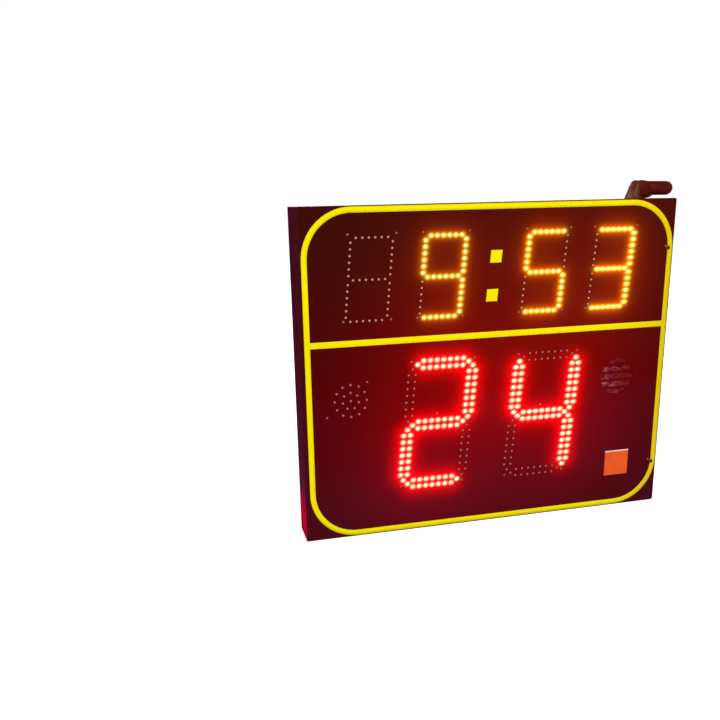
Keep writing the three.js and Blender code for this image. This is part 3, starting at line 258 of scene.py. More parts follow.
def eased(corners, radius, steps=3):
    """A polygon with each corner rounded: the arc leaves each edge at radius times the tangent of half
    the turn, and its points sit at the radius from one centre."""
    corners = np.asarray(corners, float)
    before, after = np.roll(corners, 1, 0), np.roll(corners, -1, 0)
    inward = before - corners
    outward = after - corners
    inward /= np.linalg.norm(inward, axis=1)[:, None]
    outward /= np.linalg.norm(outward, axis=1)[:, None]
    half = np.arccos(np.clip(np.sum(inward * outward, 1), -1, 1)) / 2
    radius = np.broadcast_to(np.asarray(radius, float), half.shape)
    back = radius / np.tan(half)
    middle = corners + (inward + outward) / (2 * np.cos(half))[:, None] * (radius / np.sin(half))[:, None]
    start = corners + inward * back[:, None] - middle
    finish_at = corners + outward * back[:, None] - middle
    share = np.linspace(0, 1, steps + 1)[None, :, None]
    turn = (math.pi - 2 * half)[:, None, None]
    swept = np.sin((1 - share) * turn) * start[:, None] + np.sin(share * turn) * finish_at[:, None]
    points = middle[:, None] + swept / np.maximum(np.sin(turn), 1e-6)
    return points.reshape(-1, 2)


def block(x0, x1, z0, z1):
    """A rectangle's four corners."""
    return [(x0, z0), (x1, z0), (x1, z1), (x0, z1)]


def disc(x, z, radius, sides, start=0.0):
    """Places round a circle, the first at the start angle in degrees: x + r cos t, z + r sin t."""
    t = math.radians(start) + angles(sides)
    return np.stack([x + radius * np.cos(t), z + radius * np.sin(t)], 1)


def slab(outline, low, high, edge=0.4, axis="y", steps=2):
    """An outline carried from low to high, its two rims rounded: at angle t the outline is inset by
    edge (1 - sin t) and stands edge (1 - cos t) from the end."""
    outline = np.asarray(outline, float)
    t = np.linspace(0, math.pi / 2, steps + 1)
    insets = edge * (1 - np.sin(t))
    depths = edge * (1 - np.cos(t))
    rings = [(inset(outline, d), low + h) for d, h in zip(insets, depths)]
    rings += [(inset(outline, d), high - h) for d, h in zip(insets[::-1], depths[::-1])]
    grid = np.stack([laid(r[:, 0], r[:, 1], depth, axis) for r, depth in rings])
    shape = skin(grid)
    sides = len(outline)
    shape.odd = [list(range(sides)), list(range((len(rings) - 1) * sides, len(rings) * sides))]
    return shape


def holed_plate(outline, holes, low, high):
    """A flat plate with holes: its faces are filled from their edges, and walls stand on every edge. The
    fill gives its faces in a new order on each run, so they are sorted."""
    flat, following = np.zeros((0, 2)), np.zeros(0, int)
    for loop in (outline, *holes):
        following = np.concatenate([following, len(flat) + np.roll(np.arange(len(loop)), -1)])
        flat = np.vstack([flat, loop])
    here = np.arange(len(flat))
    mesh = bmesh.new()
    corners = [mesh.verts.new((x, low, z)) for x, z in flat]
    for i, j in zip(here, following):
        mesh.edges.new((corners[i], corners[j]))
    bmesh.ops.triangle_fill(mesh, use_beauty=True, edges=mesh.edges[:])
    mesh.verts.index_update()
    faces = sorted(sorted(corner.index for corner in face.verts) for face in mesh.faces)
    mesh.free()
    points = np.vstack([laid(flat[:, 0], flat[:, 1], depth, "y") for depth in (low, high)])
    walls = np.stack([here, following, following + len(flat), here + len(flat)], -1)
    return Shape(points, walls, faces + [[i + len(flat) for i in face] for face in faces])


def put(name, shape, finish, body="case", replaces=(), smooth=30.0, glow=None, tint=None,
        right=True):
    """Puts a shape into the scene as a piece that rides on its body, smooth where its faces meet at less
    than the given angle. Glow and tint are a colour a point, and right turns its faces outwards."""
    mesh = bpy.data.meshes.new(name)
    counts = np.array([4] * len(shape.quads) + [len(f) for f in shape.odd], np.int32)
    corners = np.concatenate([shape.quads.reshape(-1)] + [np.asarray(f, int) for f in shape.odd])
    mesh.vertices.add(len(shape.points))
    mesh.vertices.foreach_set("co", (shape.points * METRES).astype(np.float32).ravel())
    mesh.loops.add(len(corners))
    mesh.loops.foreach_set("vertex_index", corners.astype(np.int32))
    mesh.polygons.add(len(counts))
    mesh.polygons.foreach_set("loop_start", np.concatenate([[0], np.cumsum(counts)[:-1]]).astype(np.int32))
    mesh.polygons.foreach_set("loop_total", counts)
    mesh.update(calc_edges=True)
    mesh.validate()
    if right:
        loose = bmesh.new()
        loose.from_mesh(mesh)
        bmesh.ops.recalc_face_normals(loose, faces=loose.faces[:])
        loose.to_mesh(mesh)
        loose.free()
    for layer_name, values in (("glow", glow), ("tint", tint)):
        if values is not None:
            colours = np.concatenate([values, np.ones((len(values), 1))], 1).astype(np.float32)
            layer = mesh.attributes.new(layer_name, "FLOAT_COLOR", "POINT")
            layer.data.foreach_set("color", colours.ravel())
    if smooth:
        mesh.polygons.foreach_set("use_smooth", np.ones(len(mesh.polygons), bool))
        mesh.set_sharp_from_angle(angle=math.radians(smooth))
    mesh.materials.append(finish)
    piece = bpy.data.objects.new(name, mesh)
    bpy.context.scene.collection.objects.link(piece)
    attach(piece, body)
    if replaces:
        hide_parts(*replaces)
    return piece


# Finishes

class Finish:
    """A material on the Principled shader, with short ways to add pattern and relief. Sizes are in mm."""

    def __init__(self, name, roughness=0.5, metallic=0.0, specular=0.5):
        self.material = bpy.data.materials.new(name)
        self.material.use_nodes = True
        self.tree = self.material.node_tree
        self.surface({"Roughness": roughness, "Metallic": metallic, "Specular IOR Level": specular})
        self.place = self.node("ShaderNodeTexCoord").outputs["Object"]

    def surface(self, inputs):
        """Sets or wires inputs of the shader."""
        feed(self.tree, self.tree.nodes["Principled BSDF"], inputs)

    def node(self, kind, inputs=None, **settings):
        """A new node of this material."""
        return add_node(self.tree, kind, inputs, **settings)

    def stretched(self, size, stretch=(1.0, 1.0, 1.0)):
        """Places scaled so that one step of the pattern is size mm, longer where stretch is more."""
        scale = [1 / (size * METRES * s) for s in stretch]
        return self.node("ShaderNodeMapping", {"Scale": scale, "Vector": self.place}).outputs["Vector"]

    def noise(self, size, detail=3.0, stretch=(1.0, 1.0, 1.0)):
        """Cloudy values about 0.5, one cloud to each size mm."""
        inputs = {"Scale": 1.0, "Detail": detail, "Vector": self.stretched(size, stretch)}
        return self.node("ShaderNodeTexNoise", inputs).outputs["Fac"]

    def along(self, axis):
        """The place along an axis, in metres."""
        return self.node("ShaderNodeSeparateXYZ", {0: self.place}).outputs[axis.upper()]

    def layer(self, name):
        """The colours that the piece's points have in a layer."""
        return self.node("ShaderNodeAttribute", attribute_name=name).outputs["Color"]

    def ramp(self, value, stops):
        """A colour that runs through the stops (at, colour) as the value rises."""
        made = self.node("ShaderNodeValToRGB", {0: value})
        points = made.color_ramp.elements
        while len(points) < len(stops):
            points.new(0.5)
        for point, (at, colour) in zip(points, stops):
            point.position = at
            point.color = colour
        return made.outputs[0]

    def tones(self, value, dark, pale):
        """A colour from dark to pale as the value rises from 0.3 to 0.7."""
        return self.ramp(value, [(0.3, dark), (0.7, pale)])

    def span(self, value, low, high, to_low=0.0, to_high=1.0):
        """The value's run from low to high as a run from to_low to to_high, and no further."""
        return self.node("ShaderNodeMapRange", {"Value": value, "From Min": low, "From Max": high,
                                                "To Min": to_low, "To Max": to_high}).outputs[0]

    def math(self, operation, first, second):
        """One sum of two values."""
        return self.node("ShaderNodeMath", {0: first, 1: second}, operation=operation).outputs[0]

    def mix(self, share, first, second):
        """A colour between two: first (1 - share) + second share."""
        return self.node("ShaderNodeMix", {0: share, 6: first, 7: second}, data_type="RGBA").outputs[2]

    def colour(self, value):
        """The surface's own colour."""
        self.surface({"Base Color": value})

    def rough(self, value, low, high, start=0.3, end=0.7):
        """Roughness from low to high as the value rises from start to end."""
        self.surface({"Roughness": self.span(value, start, end, low, high)})

    def relief(self, height, depth):
        """Bump of the given depth in mm."""
        bump = self.node("ShaderNodeBump", {"Strength": 1.0, "Distance": depth * METRES, "Height": height})
        self.surface({"Normal": bump.outputs[0]})

    def grain(self, size, depth, detail=2.0, stretch=(1.0, 1.0, 1.0)):
        """Cloudy relief, one cloud to each size mm."""
        self.relief(self.noise(size, detail, stretch), depth)

    def shine(self, light):
        """Light that the surface gives off."""
        self.surface({"Emission Color": light, "Emission Strength": 1.0})


def paint_like(name, dark, pale, size, roughness, grain, depth, specular, metallic=0.0,
               stretch=(1.0, 1.0, 1.0)):
    """A painted or moulded surface: slow cloudy colour between two tones, fine grain in relief, and a
    roughness that follows the clouds. Size, grain and depth are in mm."""
    made = Finish(name, roughness[0], metallic, specular)
    clouds = made.noise(size, 3.0, stretch)
    made.colour(made.tones(clouds, dark, pale))
    made.rough(clouds, *roughness)
    made.grain(grain, depth)
    return made.material


def front_finish():
    """The enamelled front: brown-black at the top, towards purple at the bottom, with the lamps' light."""
    made = Finish("front_enamel", 0.5, 0.0, 0.012)
    height = made.span(made.along("z"), 0.0, 0.6)
    drift = made.span(made.noise(160.0, 2.0), 0.3, 0.7, -0.12, 0.12)
    made.colour(made.ramp(made.math("ADD", height, drift), [
        (0.05, linear(63, 9, 22)), (0.45, linear(71, 1, 3)), (0.95, linear(53, 9, 4))]))
    made.rough(made.noise(24.0, 4.0), 0.44, 0.56)
    made.grain(1.1, 0.012)
    made.shine(made.layer("glow"))
    return made.material


def case_finish(name, specular):
    """Powder-coated profiles: dark maroon, redder near the floor, with a painted crimson reflection of red
    lamp light low on the left-hand side, orange-peel relief and a few rubbed places."""
    made = Finish(name, 0.42, 0.0, specular)
    height = made.span(made.along("z"), 0.0, 0.6)
    plain = made.ramp(height, [
        (0.0, linear(72, 10, 26)), (0.35, linear(62, 9, 20)), (1.0, linear(56, 11, 15))])
    # Painted reflection of red lamp light: crimson, low on the left-hand side face only
    crimson_reflection = made.ramp(height, [
        (0.0, linear(140, 6, 44)), (0.04, linear(198, 1, 40)), (0.09, linear(182, 4, 42)),
        (0.16, linear(92, 20, 48)), (0.28, linear(66, 18, 38)), (0.6, linear(58, 11, 26))])
    tone = made.mix(made.span(made.along("x"), -0.3599, -0.3597, 1.0, 0.0), plain, crimson_reflection)
    clouds = made.noise(30.0, 3.0)
    worn = made.mix(made.span(clouds, 0.35, 0.75, 0.0, 0.2), tone, linear(98, 24, 40))
    rubbed = made.span(made.noise(5.0, 6.0, (1.0, 1.0, 3.0)), 0.66, 0.76, 0.0, 0.35)
    made.colour(made.mix(rubbed, worn, linear(120, 52, 64)))
    made.rough(clouds, 0.36, 0.5)
    made.grain(1.6, 0.03)
    return made.material


def zinc_finish():
    """Zinc plate: crystals of slightly different grey, each with its own roughness, over fine rolling."""
    made = Finish("zinc_plate", 0.42, 0.85, 0.5)
    crystals = made.node("ShaderNodeTexVoronoi", {"Scale": 1.0, "Vector": made.stretched(3.4)})
    spangle = made.node("ShaderNodeSeparateColor", {0: crystals.outputs["Color"]})
    made.colour(made.ramp(spangle.outputs[0], [(0.0, linear(152, 155, 158)), (1.0, linear(172, 175, 178))]))
    made.rough(spangle.outputs[1], 0.38, 0.48, 0.0, 1.0)
    made.grain(0.6, 0.01, 2.0, (1.0, 1.0, 14.0))
    return made.material


def steel_finish(name, dark, pale, low=0.25, high=0.4):
    """Turned or plated steel with fine rings of tool marks."""
    made = Finish(name, low, 0.9, 0.5)
    marks = made.noise(0.9, 3.0)
    made.colour(made.tones(marks, dark, pale))
    made.rough(marks, low, high)
    made.grain(0.3, 0.008, 1.0)
    return made.material


def print_finish():
    """Screen-printed yellow: a trace of ink texture, a little darker towards the right-hand side."""
    made = Finish("yellow_print", 0.45, 0.0, 0.03)
    side = made.span(made.along("x"), 0.25, 0.36)
    ink = made.mix(side, linear(241, 225, 0), linear(222, 192, 4))
    made.colour(made.mix(made.span(made.noise(9.0, 4.0), 0.35, 0.75, 0.0, 0.3), ink, linear(236, 212, 2)))
    made.rough(made.noise(2.0, 2.0), 0.4, 0.55)
    made.grain(0.5, 0.01)
    return made.material


def label_finish():
    """The bare sticker: orange vinyl under a plain white strip, with soft creases."""
    made = Finish("sticker_vinyl", 0.4, 0.0, 0.06)
    top = made.math("GREATER_THAN", made.along("z"), 0.1131)
    creases = made.noise(14.0, 3.0)
    vinyl = made.tones(creases, linear(224, 80, 32), linear(234, 92, 40))
    made.colour(made.mix(top, vinyl, linear(226, 200, 192)))
    made.relief(creases, 0.05)
    return made.material


def led_finish(name):
    """A lit lamp: its lens gives off light, white at the tip and coloured round the foot."""
    made = Finish(name, 0.25, 0.0, 0.5)
    made.colour(made.tones(made.noise(2.0, 1.0), linear(236, 190, 150), linear(246, 208, 170)))
    made.shine(made.layer("glow"))
    return made.material


def unlit_finish():
    """A clear lamp that is off: a pale painted highlight at its tip, and taking the dark of its hole round
    the foot.
    """
    made = Finish("clear_resin", 0.2, 0.0, 0.1)
    veins = made.span(made.noise(1.6, 2.0), 0.3, 0.7, 0.0, 0.3)
    # The tint layer carries the painted highlight on the lens tip
    made.colour(made.mix(veins, made.layer("tint"), linear(96, 40, 40)))
    made.rough(made.noise(0.8, 2.0), 0.16, 0.3)
    return made.material


def board_finish():
    """Circuit board: green solder mask over lighter tracks, with weave in relief."""
    made = Finish("circuit_board", 0.35, 0.0, 0.45)
    flat = made.node("ShaderNodeMapping", {
        "Rotation": (math.radians(90), 0.0, 0.0), "Vector": made.stretched(9.0)})
    tracks = made.node("ShaderNodeTexBrick", {
        "Scale": 1.0, "Mortar Size": 0.06, "Color1": linear(20, 84, 46), "Color2": linear(17, 74, 40),
        "Mortar": linear(52, 124, 74), "Vector": flat.outputs["Vector"]})
    made.colour(tracks.outputs["Color"])
    made.grain(0.4, 0.02, 1.0)
    return made.material


def wire_finish():
    """Ribbon and sheathed lead: grey plastic with fine ribs along it."""
    made = Finish("lead_sheath", 0.5, 0.0, 0.35)
    wave = made.node("ShaderNodeTexWave", {"Scale": 1.0, "Distortion": 0.3, "Vector": made.stretched(8.0)})
    ribs = wave.outputs["Fac"]
    made.colour(made.ramp(ribs, [(0.2, linear(96, 99, 105)), (0.8, linear(132, 135, 140))]))
    made.relief(ribs, 0.15)
    return made.material


def horn_finish():
    """The horn's dark red moulding, with the lamps' light on it, and paler glints that fade to the
    right of its mouth."""
    made = Finish("horn_moulding", 0.4, 0.0, 0.05)
    made.colour(made.tones(made.noise(9.0, 3.0), linear(58, 6, 12), linear(74, 10, 18)))
    glint = made.span(made.noise(5.0, 2.0, (2.4, 1.0, 0.7)), 0.42, 0.62)
    sideways = made.span(made.along("x"), 0.236, 0.282, 0.95, 0.12)
    upwards = made.span(made.along("z"), 0.288, 0.294, 1.0, 0.3)
    share = made.math("MULTIPLY", made.math("MULTIPLY", glint, sideways), upwards)
    pale = made.mix(made.span(made.noise(14.0, 1.0), 0.44, 0.56), linear(162, 88, 84), linear(134, 54, 98))
    made.shine(made.mix(share, linear(88, 2, 5), pale))
    made.rough(made.noise(3.0, 2.0), 0.34, 0.5)
    made.grain(0.8, 0.03)
    return made.material


def aerial_finish():
    """The aerial's rubber: dark brown-red, with a pale painted highlight in streaks on the elbow's left-hand
    side.
    """
    made = Finish("aerial_moulding", 0.5, 0.0, 0.0)
    clouds = made.noise(9.0, 3.0)
    rubber = made.tones(clouds, linear(76, 17, 11), linear(94, 28, 19))
    # Painted highlight: pale streaks on the elbow's left-hand side, where it faces the light
    highlight_streaks = made.span(made.noise(6.0, 2.0, (1.0, 1.0, 2.2)), 0.4, 0.64, 0.25, 0.85)
    elbow = made.span(made.along("x"), 0.277, 0.294, 1.0, 0.0)
    made.colour(made.mix(made.math("MULTIPLY", highlight_streaks, elbow), rubber, linear(142, 102, 82)))
    made.rough(clouds, 0.44, 0.56)
    made.grain(0.8, 0.02)
    return made.material


FRONT_ENAMEL = front_finish()
CASE_COAT = case_finish("case_coat", 0.015)
# The left profile's coat, which shows the painted crimson reflection
MATT_COAT = case_finish("matt_case_coat", 0.0)
ZINC = zinc_finish()
BRIGHT_STEEL = steel_finish("bright_steel", linear(168, 168, 170), linear(206, 206, 208))
DARK_STEEL = steel_finish("dark_steel", linear(52, 50, 52), linear(88, 86, 88), 0.3, 0.45)
HORN_MOULDING = horn_finish()
BRASS = steel_finish("plated_brass", linear(176, 148, 84), linear(208, 182, 116))
YELLOW_PRINT = print_finish()
STICKER = label_finish()
AMBER_LIT = led_finish("amber_lit")
RED_LIT = led_finish("red_lit")
CLEAR_RESIN = unlit_finish()
BOARD = board_finish()
SHEATH = wire_finish()
AERIAL_RUBBER = aerial_finish()
BLACK_MOULDING = paint_like("black_moulding", linear(20, 20, 22), linear(30, 30, 33), 12.0,
                            (0.42, 0.58), 0.7, 0.03, 0.35)
ROCKER_RED = paint_like("rocker_moulding", linear(158, 20, 20), linear(180, 32, 28), 8.0,
                        (0.3, 0.42), 0.8, 0.01, 0.45)
BUTTON_RED = paint_like("button_moulding", linear(150, 22, 20), linear(184, 34, 30), 5.0,
                        (0.28, 0.4), 0.6, 0.01, 0.45)
ALUMINIUM = paint_like("brushed_aluminium", linear(168, 170, 173), linear(194, 196, 198), 1.2,
                       (0.3, 0.45), 0.4, 0.012, 0.5, 0.9, (18.0, 1.0, 1.0))
HOLE_RIM = paint_like("hole_rim", linear(50, 8, 8), linear(62, 11, 11), 3.0, (0.6, 0.8), 0.4, 0.01, 0.1)
DULL_SCREW = paint_like("dull_screw", linear(128, 66, 58), linear(172, 108, 94), 1.5,
                        (0.4, 0.55), 0.4, 0.01, 0.1)
COATED_SCREW = paint_like("coated_screw", linear(48, 8, 8), linear(74, 16, 16), 1.5,
                          (0.4, 0.55), 0.4, 0.01, 0.1)
SCALE_INK = paint_like("scale_ink", linear(18, 18, 20), linear(32, 32, 34), 2.0,
                       (0.5, 0.6), 0.4, 0.008, 0.2)

# Finishes of the solids that stay as they are

FINISH_OF = {
    ZINC: ["mounting_rail_left", "mounting_rail_right", "corner_bracket_top_left",
           "corner_bracket_top_right", "corner_bracket_bottom_left", "corner_bracket_bottom_right",
           "horn_strap"],
    CASE_COAT: ["back_panel"],
    YELLOW_PRINT: ["colon_upper", "colon_lower"],
    STICKER: ["front_label"],
    BOARD: ["amber_board_1", "amber_board_2", "amber_board_3", "amber_board_4", "red_board_1",
            "red_board_2", "lamp_board", "control_board", "radio_board"],
    SHEATH: ["amber_harness", "red_harness", "lamp_lead", "horn_lead", "dc_lead", "mains_lead",
             "aerial_coax"],
    ALUMINIUM: ["power_supply", "service_plate", "button_housing"],
    BLACK_MOULDING: ["power_inlet", "fuse_drawer", "switch_bezel", "channel_knob"],
    DARK_STEEL: ["channel_switch"],
    AERIAL_RUBBER: ["aerial_pin"],
    ROCKER_RED: ["switch_rocker"],
    BUTTON_RED: ["test_button"],
    BRASS: ["aerial_bush", "aerial_nut"],
}
for finish, names in FINISH_OF.items():
    for name in names:
        nodes[name].data.materials.clear()
        nodes[name].data.materials.append(finish)

# Digits: the places of their lamps, and which bars are lit


def amber_lamps(upright):
    """Six lamps in one row: their places along and across the bar, the reach of the row, and the rows."""
    pitch = 11.2 if upright else 11.4
    return (np.arange(6) - 2.5) * pitch, np.zeros(6), 2.5 * pitch, (0.0,)


def red_lamps(upright):
    """Two rows of seven lamps, alike both ways, and one more lamp at each end."""
    pitch, aside, tip = 12.7, 6.4, 48.9
    row = (np.arange(7) - 3) * pitch
    along = np.concatenate([row, row, [-tip, tip]])
    across = np.concatenate([np.full(7, -aside), np.full(7, aside), [0.0, 0.0]])
    return along, across, 3 * pitch, (-aside, aside)


BARS = ("top", "middle", "bottom", "upper_left", "upper_right", "lower_left", "lower_right")
NUMERALS = {
    " ": (),
    "2": ("top", "middle", "bottom", "upper_right", "lower_left"),
    "3": ("top", "middle", "bottom", "upper_right", "lower_right"),
    "4": ("middle", "upper_left", "upper_right", "lower_right"),
    "5": ("top", "middle", "bottom", "upper_left", "lower_right"),
    "9": ("top", "middle", "bottom", "upper_left", "upper_right", "lower_right"),
}
# The digits of a row: their height, their bars' lamps, how far out the upright and the level bars stand,
# the block's half width and height, the fixing screws, and the lamps' slot and colours: lit foot, lit
# tip, and the painted highlight on the tip of a lamp that is off
ROWS = {
    "amber": (475.5, amber_lamps, 37.3, 71.2, 46.3, 80.2,
              [(-43.2, 77.4), (42.8, 77.4), (-40.9, -70.9), (45.1, -70.9)],
              AMBER_LIT, "led_amber", (0.95, 0.8, 0.15), (0.98, 0.96, 0.76), linear(208, 146, 126)),
    "red": (206.1, red_lamps, 57.8, 113.5, 75.2, 130.9,
            [(-60.5, 119.0), (59.5, 119.0), (-60.5, -117.0), (59.5, -117.0), (-3.0, 18.8)],
            RED_LIT, "led_red", (0.96, 0.8, 0.56), (0.98, 0.96, 0.92), linear(200, 98, 98)),
}


class Digit:
    """One digit: each bar's lamps in the digit's own places (u, v), then leaning: x = x0 + u + v tan 5.2
    degrees, z = z0 + v. Its power is the light of its lamps against a plain one. The painted light next to
    each lamp is carried aside (x, z) and drawn out (x, z)."""

    def __init__(self, kind, number, x, numeral, power, carried=(0.0, 0.0), drawn=(1.0, 1.0)):
        self.kind, self.name, self.x, self.power = kind, f"{kind}_digit_{number}", x, power
        self.carried, self.drawn = carried, drawn
        (self.z, lamps, column, row, self.half_width, self.half_height, self.fixings,
         self.finish, self.slot, self.foot, self.tip, self.pale) = ROWS[kind]
        lit, unlit, self.lines = [], [], []
        places = [(0, row, 0), (0, 0, 0), (0, -row, 0), (-column, row / 2, 1), (column, row / 2, 1),
                  (-column, -row / 2, 1), (column, -row / 2, 1)]
        for bar, (u, v, upright) in zip(BARS, places):
            along, across, reach, rows = lamps(upright)
            local = np.stack([across, along] if upright else [along, across], 1) + (u, v)
            if bar not in NUMERALS[numeral]:
                unlit.append(local)
                continue
            lit.append(local)
            for h in rows:
                ends = np.array([[h, -reach], [h, reach]] if upright else [[-reach, h], [reach, h]])
                self.lines.append(self.leaning(ends + (u, v)))
        self.lit = self.leaning(np.vstack(lit)) if lit else []
        self.unlit = self.leaning(np.vstack(unlit))

    def leaning(self, places):
        """Places of the front from the digit's own places."""
        u, v = np.asarray(places, float).T
        return np.stack([self.x + u + v * LEAN, self.z + v], 1)


DIGITS = [
    Digit("amber", 1, -233.41, " ", 1.0),
    Digit("amber", 2, -99.2, "9", 0.67, (0.8, -0.25), (1.14, 0.95)),
    Digit("amber", 3, 96.2, "5", 0.98, (0.95, -0.3), (1.18, 0.93)),
    Digit("amber", 4, 230.41, "3", 1.22, (1.7, -0.1), (1.34, 0.88)),
    Digit("red", 1, -107.44, "2", 0.98, (0.8, -0.45), (1.05, 0.9)),
    Digit("red", 2, 100.64, "4", 1.05, (1.5, -0.45), (1.17, 0.88)),
]

# The lit lamps' light on the front. Each layer has a reach, a power and a linear colour: at distance d
# from a lamp, or from a bar's middle line, it gives the colour times exp(-(d / reach)^power).
AMBER_LIGHT = {
    "bar": (6.0, 2, (0.51, 0.0, 0.0)),
    "lens": (4.2, 3, (0.0, 0.84, 0.0)),
    "rim": (5.2, 3, (0.26, 0.28, 0.0)),
    "tip": (2.9, 3, (0.0, 0.0, 0.24)),
    "near": (9.0, 2, (0.23, 0.066, 0.0)),
    "wide": (12.0, 1, (0.09, 0.0095, 0.0)),
    "far": (90.0, 1, (0.003, 0.0001, 0.0)),
}
RED_LIGHT = {
    "bar": (12.0, 4, (0.13, 0.0, 0.0)),
    "bar_wide": (20.0, 2, (0.46, 0.0, 0.0)),
    "lens": (4.0, 3, (0.0, 1.38, 0.045)),
    "tip": (3.3, 3, (0.0, 0.0, 0.97)),
    "near": (8.0, 4, (0.1, 0.0, 0.018)),
    "far": (70.0, 1, (0.0066, 0.0, 0.0)),
}
AT_ONCE = 6000


def light_on(x, z):
    """Light at each place: the sum over the lit lamps, and over the lit bars' middle lines, of each
    layer's colour times its fall with distance and its digit's power. The layers next to a lamp take the
    square root of the power, and their distance is that of the place carried and drawn as its digit
    says: |(place - lamp - carried) / drawn|. No channel goes over full."""
    place = np.stack([np.ravel(x), np.ravel(z)], 1)
    total = np.zeros((len(place), 3))
    for layers, kind in ((AMBER_LIGHT, "amber"), (RED_LIGHT, "red")):
        digits = [d for d in DIGITS if d.kind == kind and len(d.lit)]
        lamps = np.vstack([d.lit for d in digits])
        lamp_power = np.concatenate([np.full(len(d.lit), d.power) for d in digits])
        line_power = np.concatenate([np.full(len(d.lines), d.power) for d in digits])
        carried = np.vstack([np.tile(d.carried, (len(d.lit), 1)) for d in digits])
        drawn = np.vstack([np.tile(d.drawn, (len(d.lit), 1)) for d in digits])
        lines = np.array([line for d in digits for line in d.lines])
        run = lines[:, 1] - lines[:, 0]
        for start in range(0, len(place), AT_ONCE):
            part = place[start:start + AT_ONCE]
            to_lamp = np.linalg.norm(part[:, None] - lamps[None], axis=2)
            to_light = np.linalg.norm((part[:, None] - lamps[None] - carried) / drawn, axis=2)
            share = ((part[:, None] - lines[None, :, 0]) * run).sum(2) / (run ** 2).sum(1)
            nearest = lines[None, :, 0] + np.clip(share, 0, 1)[..., None] * run
            to_line = np.linalg.norm(part[:, None] - nearest, axis=2)
            for name, (reach, power, colour) in layers.items():
                if name.startswith("bar"):
                    away, strength = to_line, line_power
                elif name in ("lens", "rim", "tip"):
                    away, strength = to_light, np.sqrt(lamp_power)
                else:
                    away, strength = to_lamp, lamp_power
                fall = (np.exp(-(away / reach) ** power) * strength).sum(1)
                total[start:start + AT_ONCE] += fall[:, None] * np.array(colour)
    return np.minimum(total, 1.0)


# Front sheet

GRILLE = 35.0
SLOT_EDGES = np.array([-35.0, -25.0, -20.0, -10.0, -5.0, 5.0, 10.0, 20.0, 25.0, 35.0])
GRILLE_PATCH = 44.0
CORNER = 4.0
EDGE_LINES = np.array([0.0, 0.5, 2.2, CORNER])
CHAMFER = 0.5


def front_sheet():
    """The panel as a grid of lines, 5 mm apart: y is the front, chamfered 0.5 mm at the outer edge and
    stepped back under the left lip. Near the grille the upright lines close in to half the chord of the
    grille's circle, sqrt(r squared - dz squared), and the cells inside its five slots are left out. At
    the two right corners the lines are bent on to a quarter circle of 4 mm."""
    bars = [np.linspace(a, b, 4 if b - a > 6 else 3)[:-1] for a, b in zip(SLOT_EDGES[:-1], SLOT_EDGES[1:])]
    near_grille = np.concatenate([[-39.5], *bars, [GRILLE, 39.5, GRILLE_PATCH]])
    zs = np.concatenate([
        EDGE_LINES, np.linspace(8.8, HORN_Z - GRILLE_PATCH, 44), HORN_Z + near_grille,
        np.linspace(HORN_Z + 49, HEIGHT - 8.8, 57), HEIGHT - EDGE_LINES[::-1]])
    left = -HALF_WIDTH + WALL + 0.3
    tongue = -HALF_WIDTH + LIP + 0.3
    before = np.concatenate([[left, tongue - 0.01, tongue, tongue + 0.5],
                             np.linspace(tongue + 5, HORN_X - GRILLE_PATCH, 112)])
    after = np.concatenate([np.linspace(HORN_X + 48.5, HALF_WIDTH - 8, 9), HALF_WIDTH - EDGE_LINES[::-1]])
    middle, side = 23, 4
    dz = np.abs(zs - HORN_Z)
    chord = np.sqrt(np.maximum(GRILLE ** 2 - dz ** 2, 3.0 ** 2))
    settle = np.clip((dz - GRILLE) / 9.0, 0, 1)
    chord = (chord + (GRILLE - chord) * settle)[:, None]
    share = np.linspace(0, 1, side + 1)[1:]
    spare = GRILLE_PATCH - chord
    wide = np.ones((len(zs), 1))
    x = np.hstack([
        wide * before,
        HORN_X - GRILLE_PATCH + spare * share[:-1],
        HORN_X + chord * np.linspace(-1, 1, middle),
        HORN_X + (chord + spare * share),
        wide * after])
    z = np.repeat(zs[:, None], x.shape[1], 1)
    for up in (0, 1):
        u = (x - (HALF_WIDTH - CORNER)) / CORNER
        v = (z - (HEIGHT - CORNER)) / CORNER if up else (CORNER - z) / CORNER
        corner = (u >= 0) & (v >= 0)
        bent_u = u * np.sqrt(np.maximum(1 - v * v / 2, 0))
        bent_v = v * np.sqrt(np.maximum(1 - u * u / 2, 0))
        x = np.where(corner, HALF_WIDTH - CORNER + CORNER * bent_u, x)
        z = np.where(corner, HEIGHT - CORNER + CORNER * bent_v if up else CORNER - CORNER * bent_v, z)
    rim = np.zeros(x.shape, bool)
    rim[0], rim[-1], rim[:, -1] = True, True, True
    y = np.where(rim, FRONT + CHAMFER, FRONT)
    y[:, :2] = FRONT + 2.1
    first = len(before) + side - 1
    cells = np.ones((x.shape[0] - 1, x.shape[1] - 1), bool)
    level = (zs[:-1] + zs[1:]) / 2 - HORN_Z
    for a, b in zip(SLOT_EDGES[::2], SLOT_EDGES[1::2]):
        cells[(level > a) & (level < b), first:first + middle - 1] = False
    return x, y, z, cells


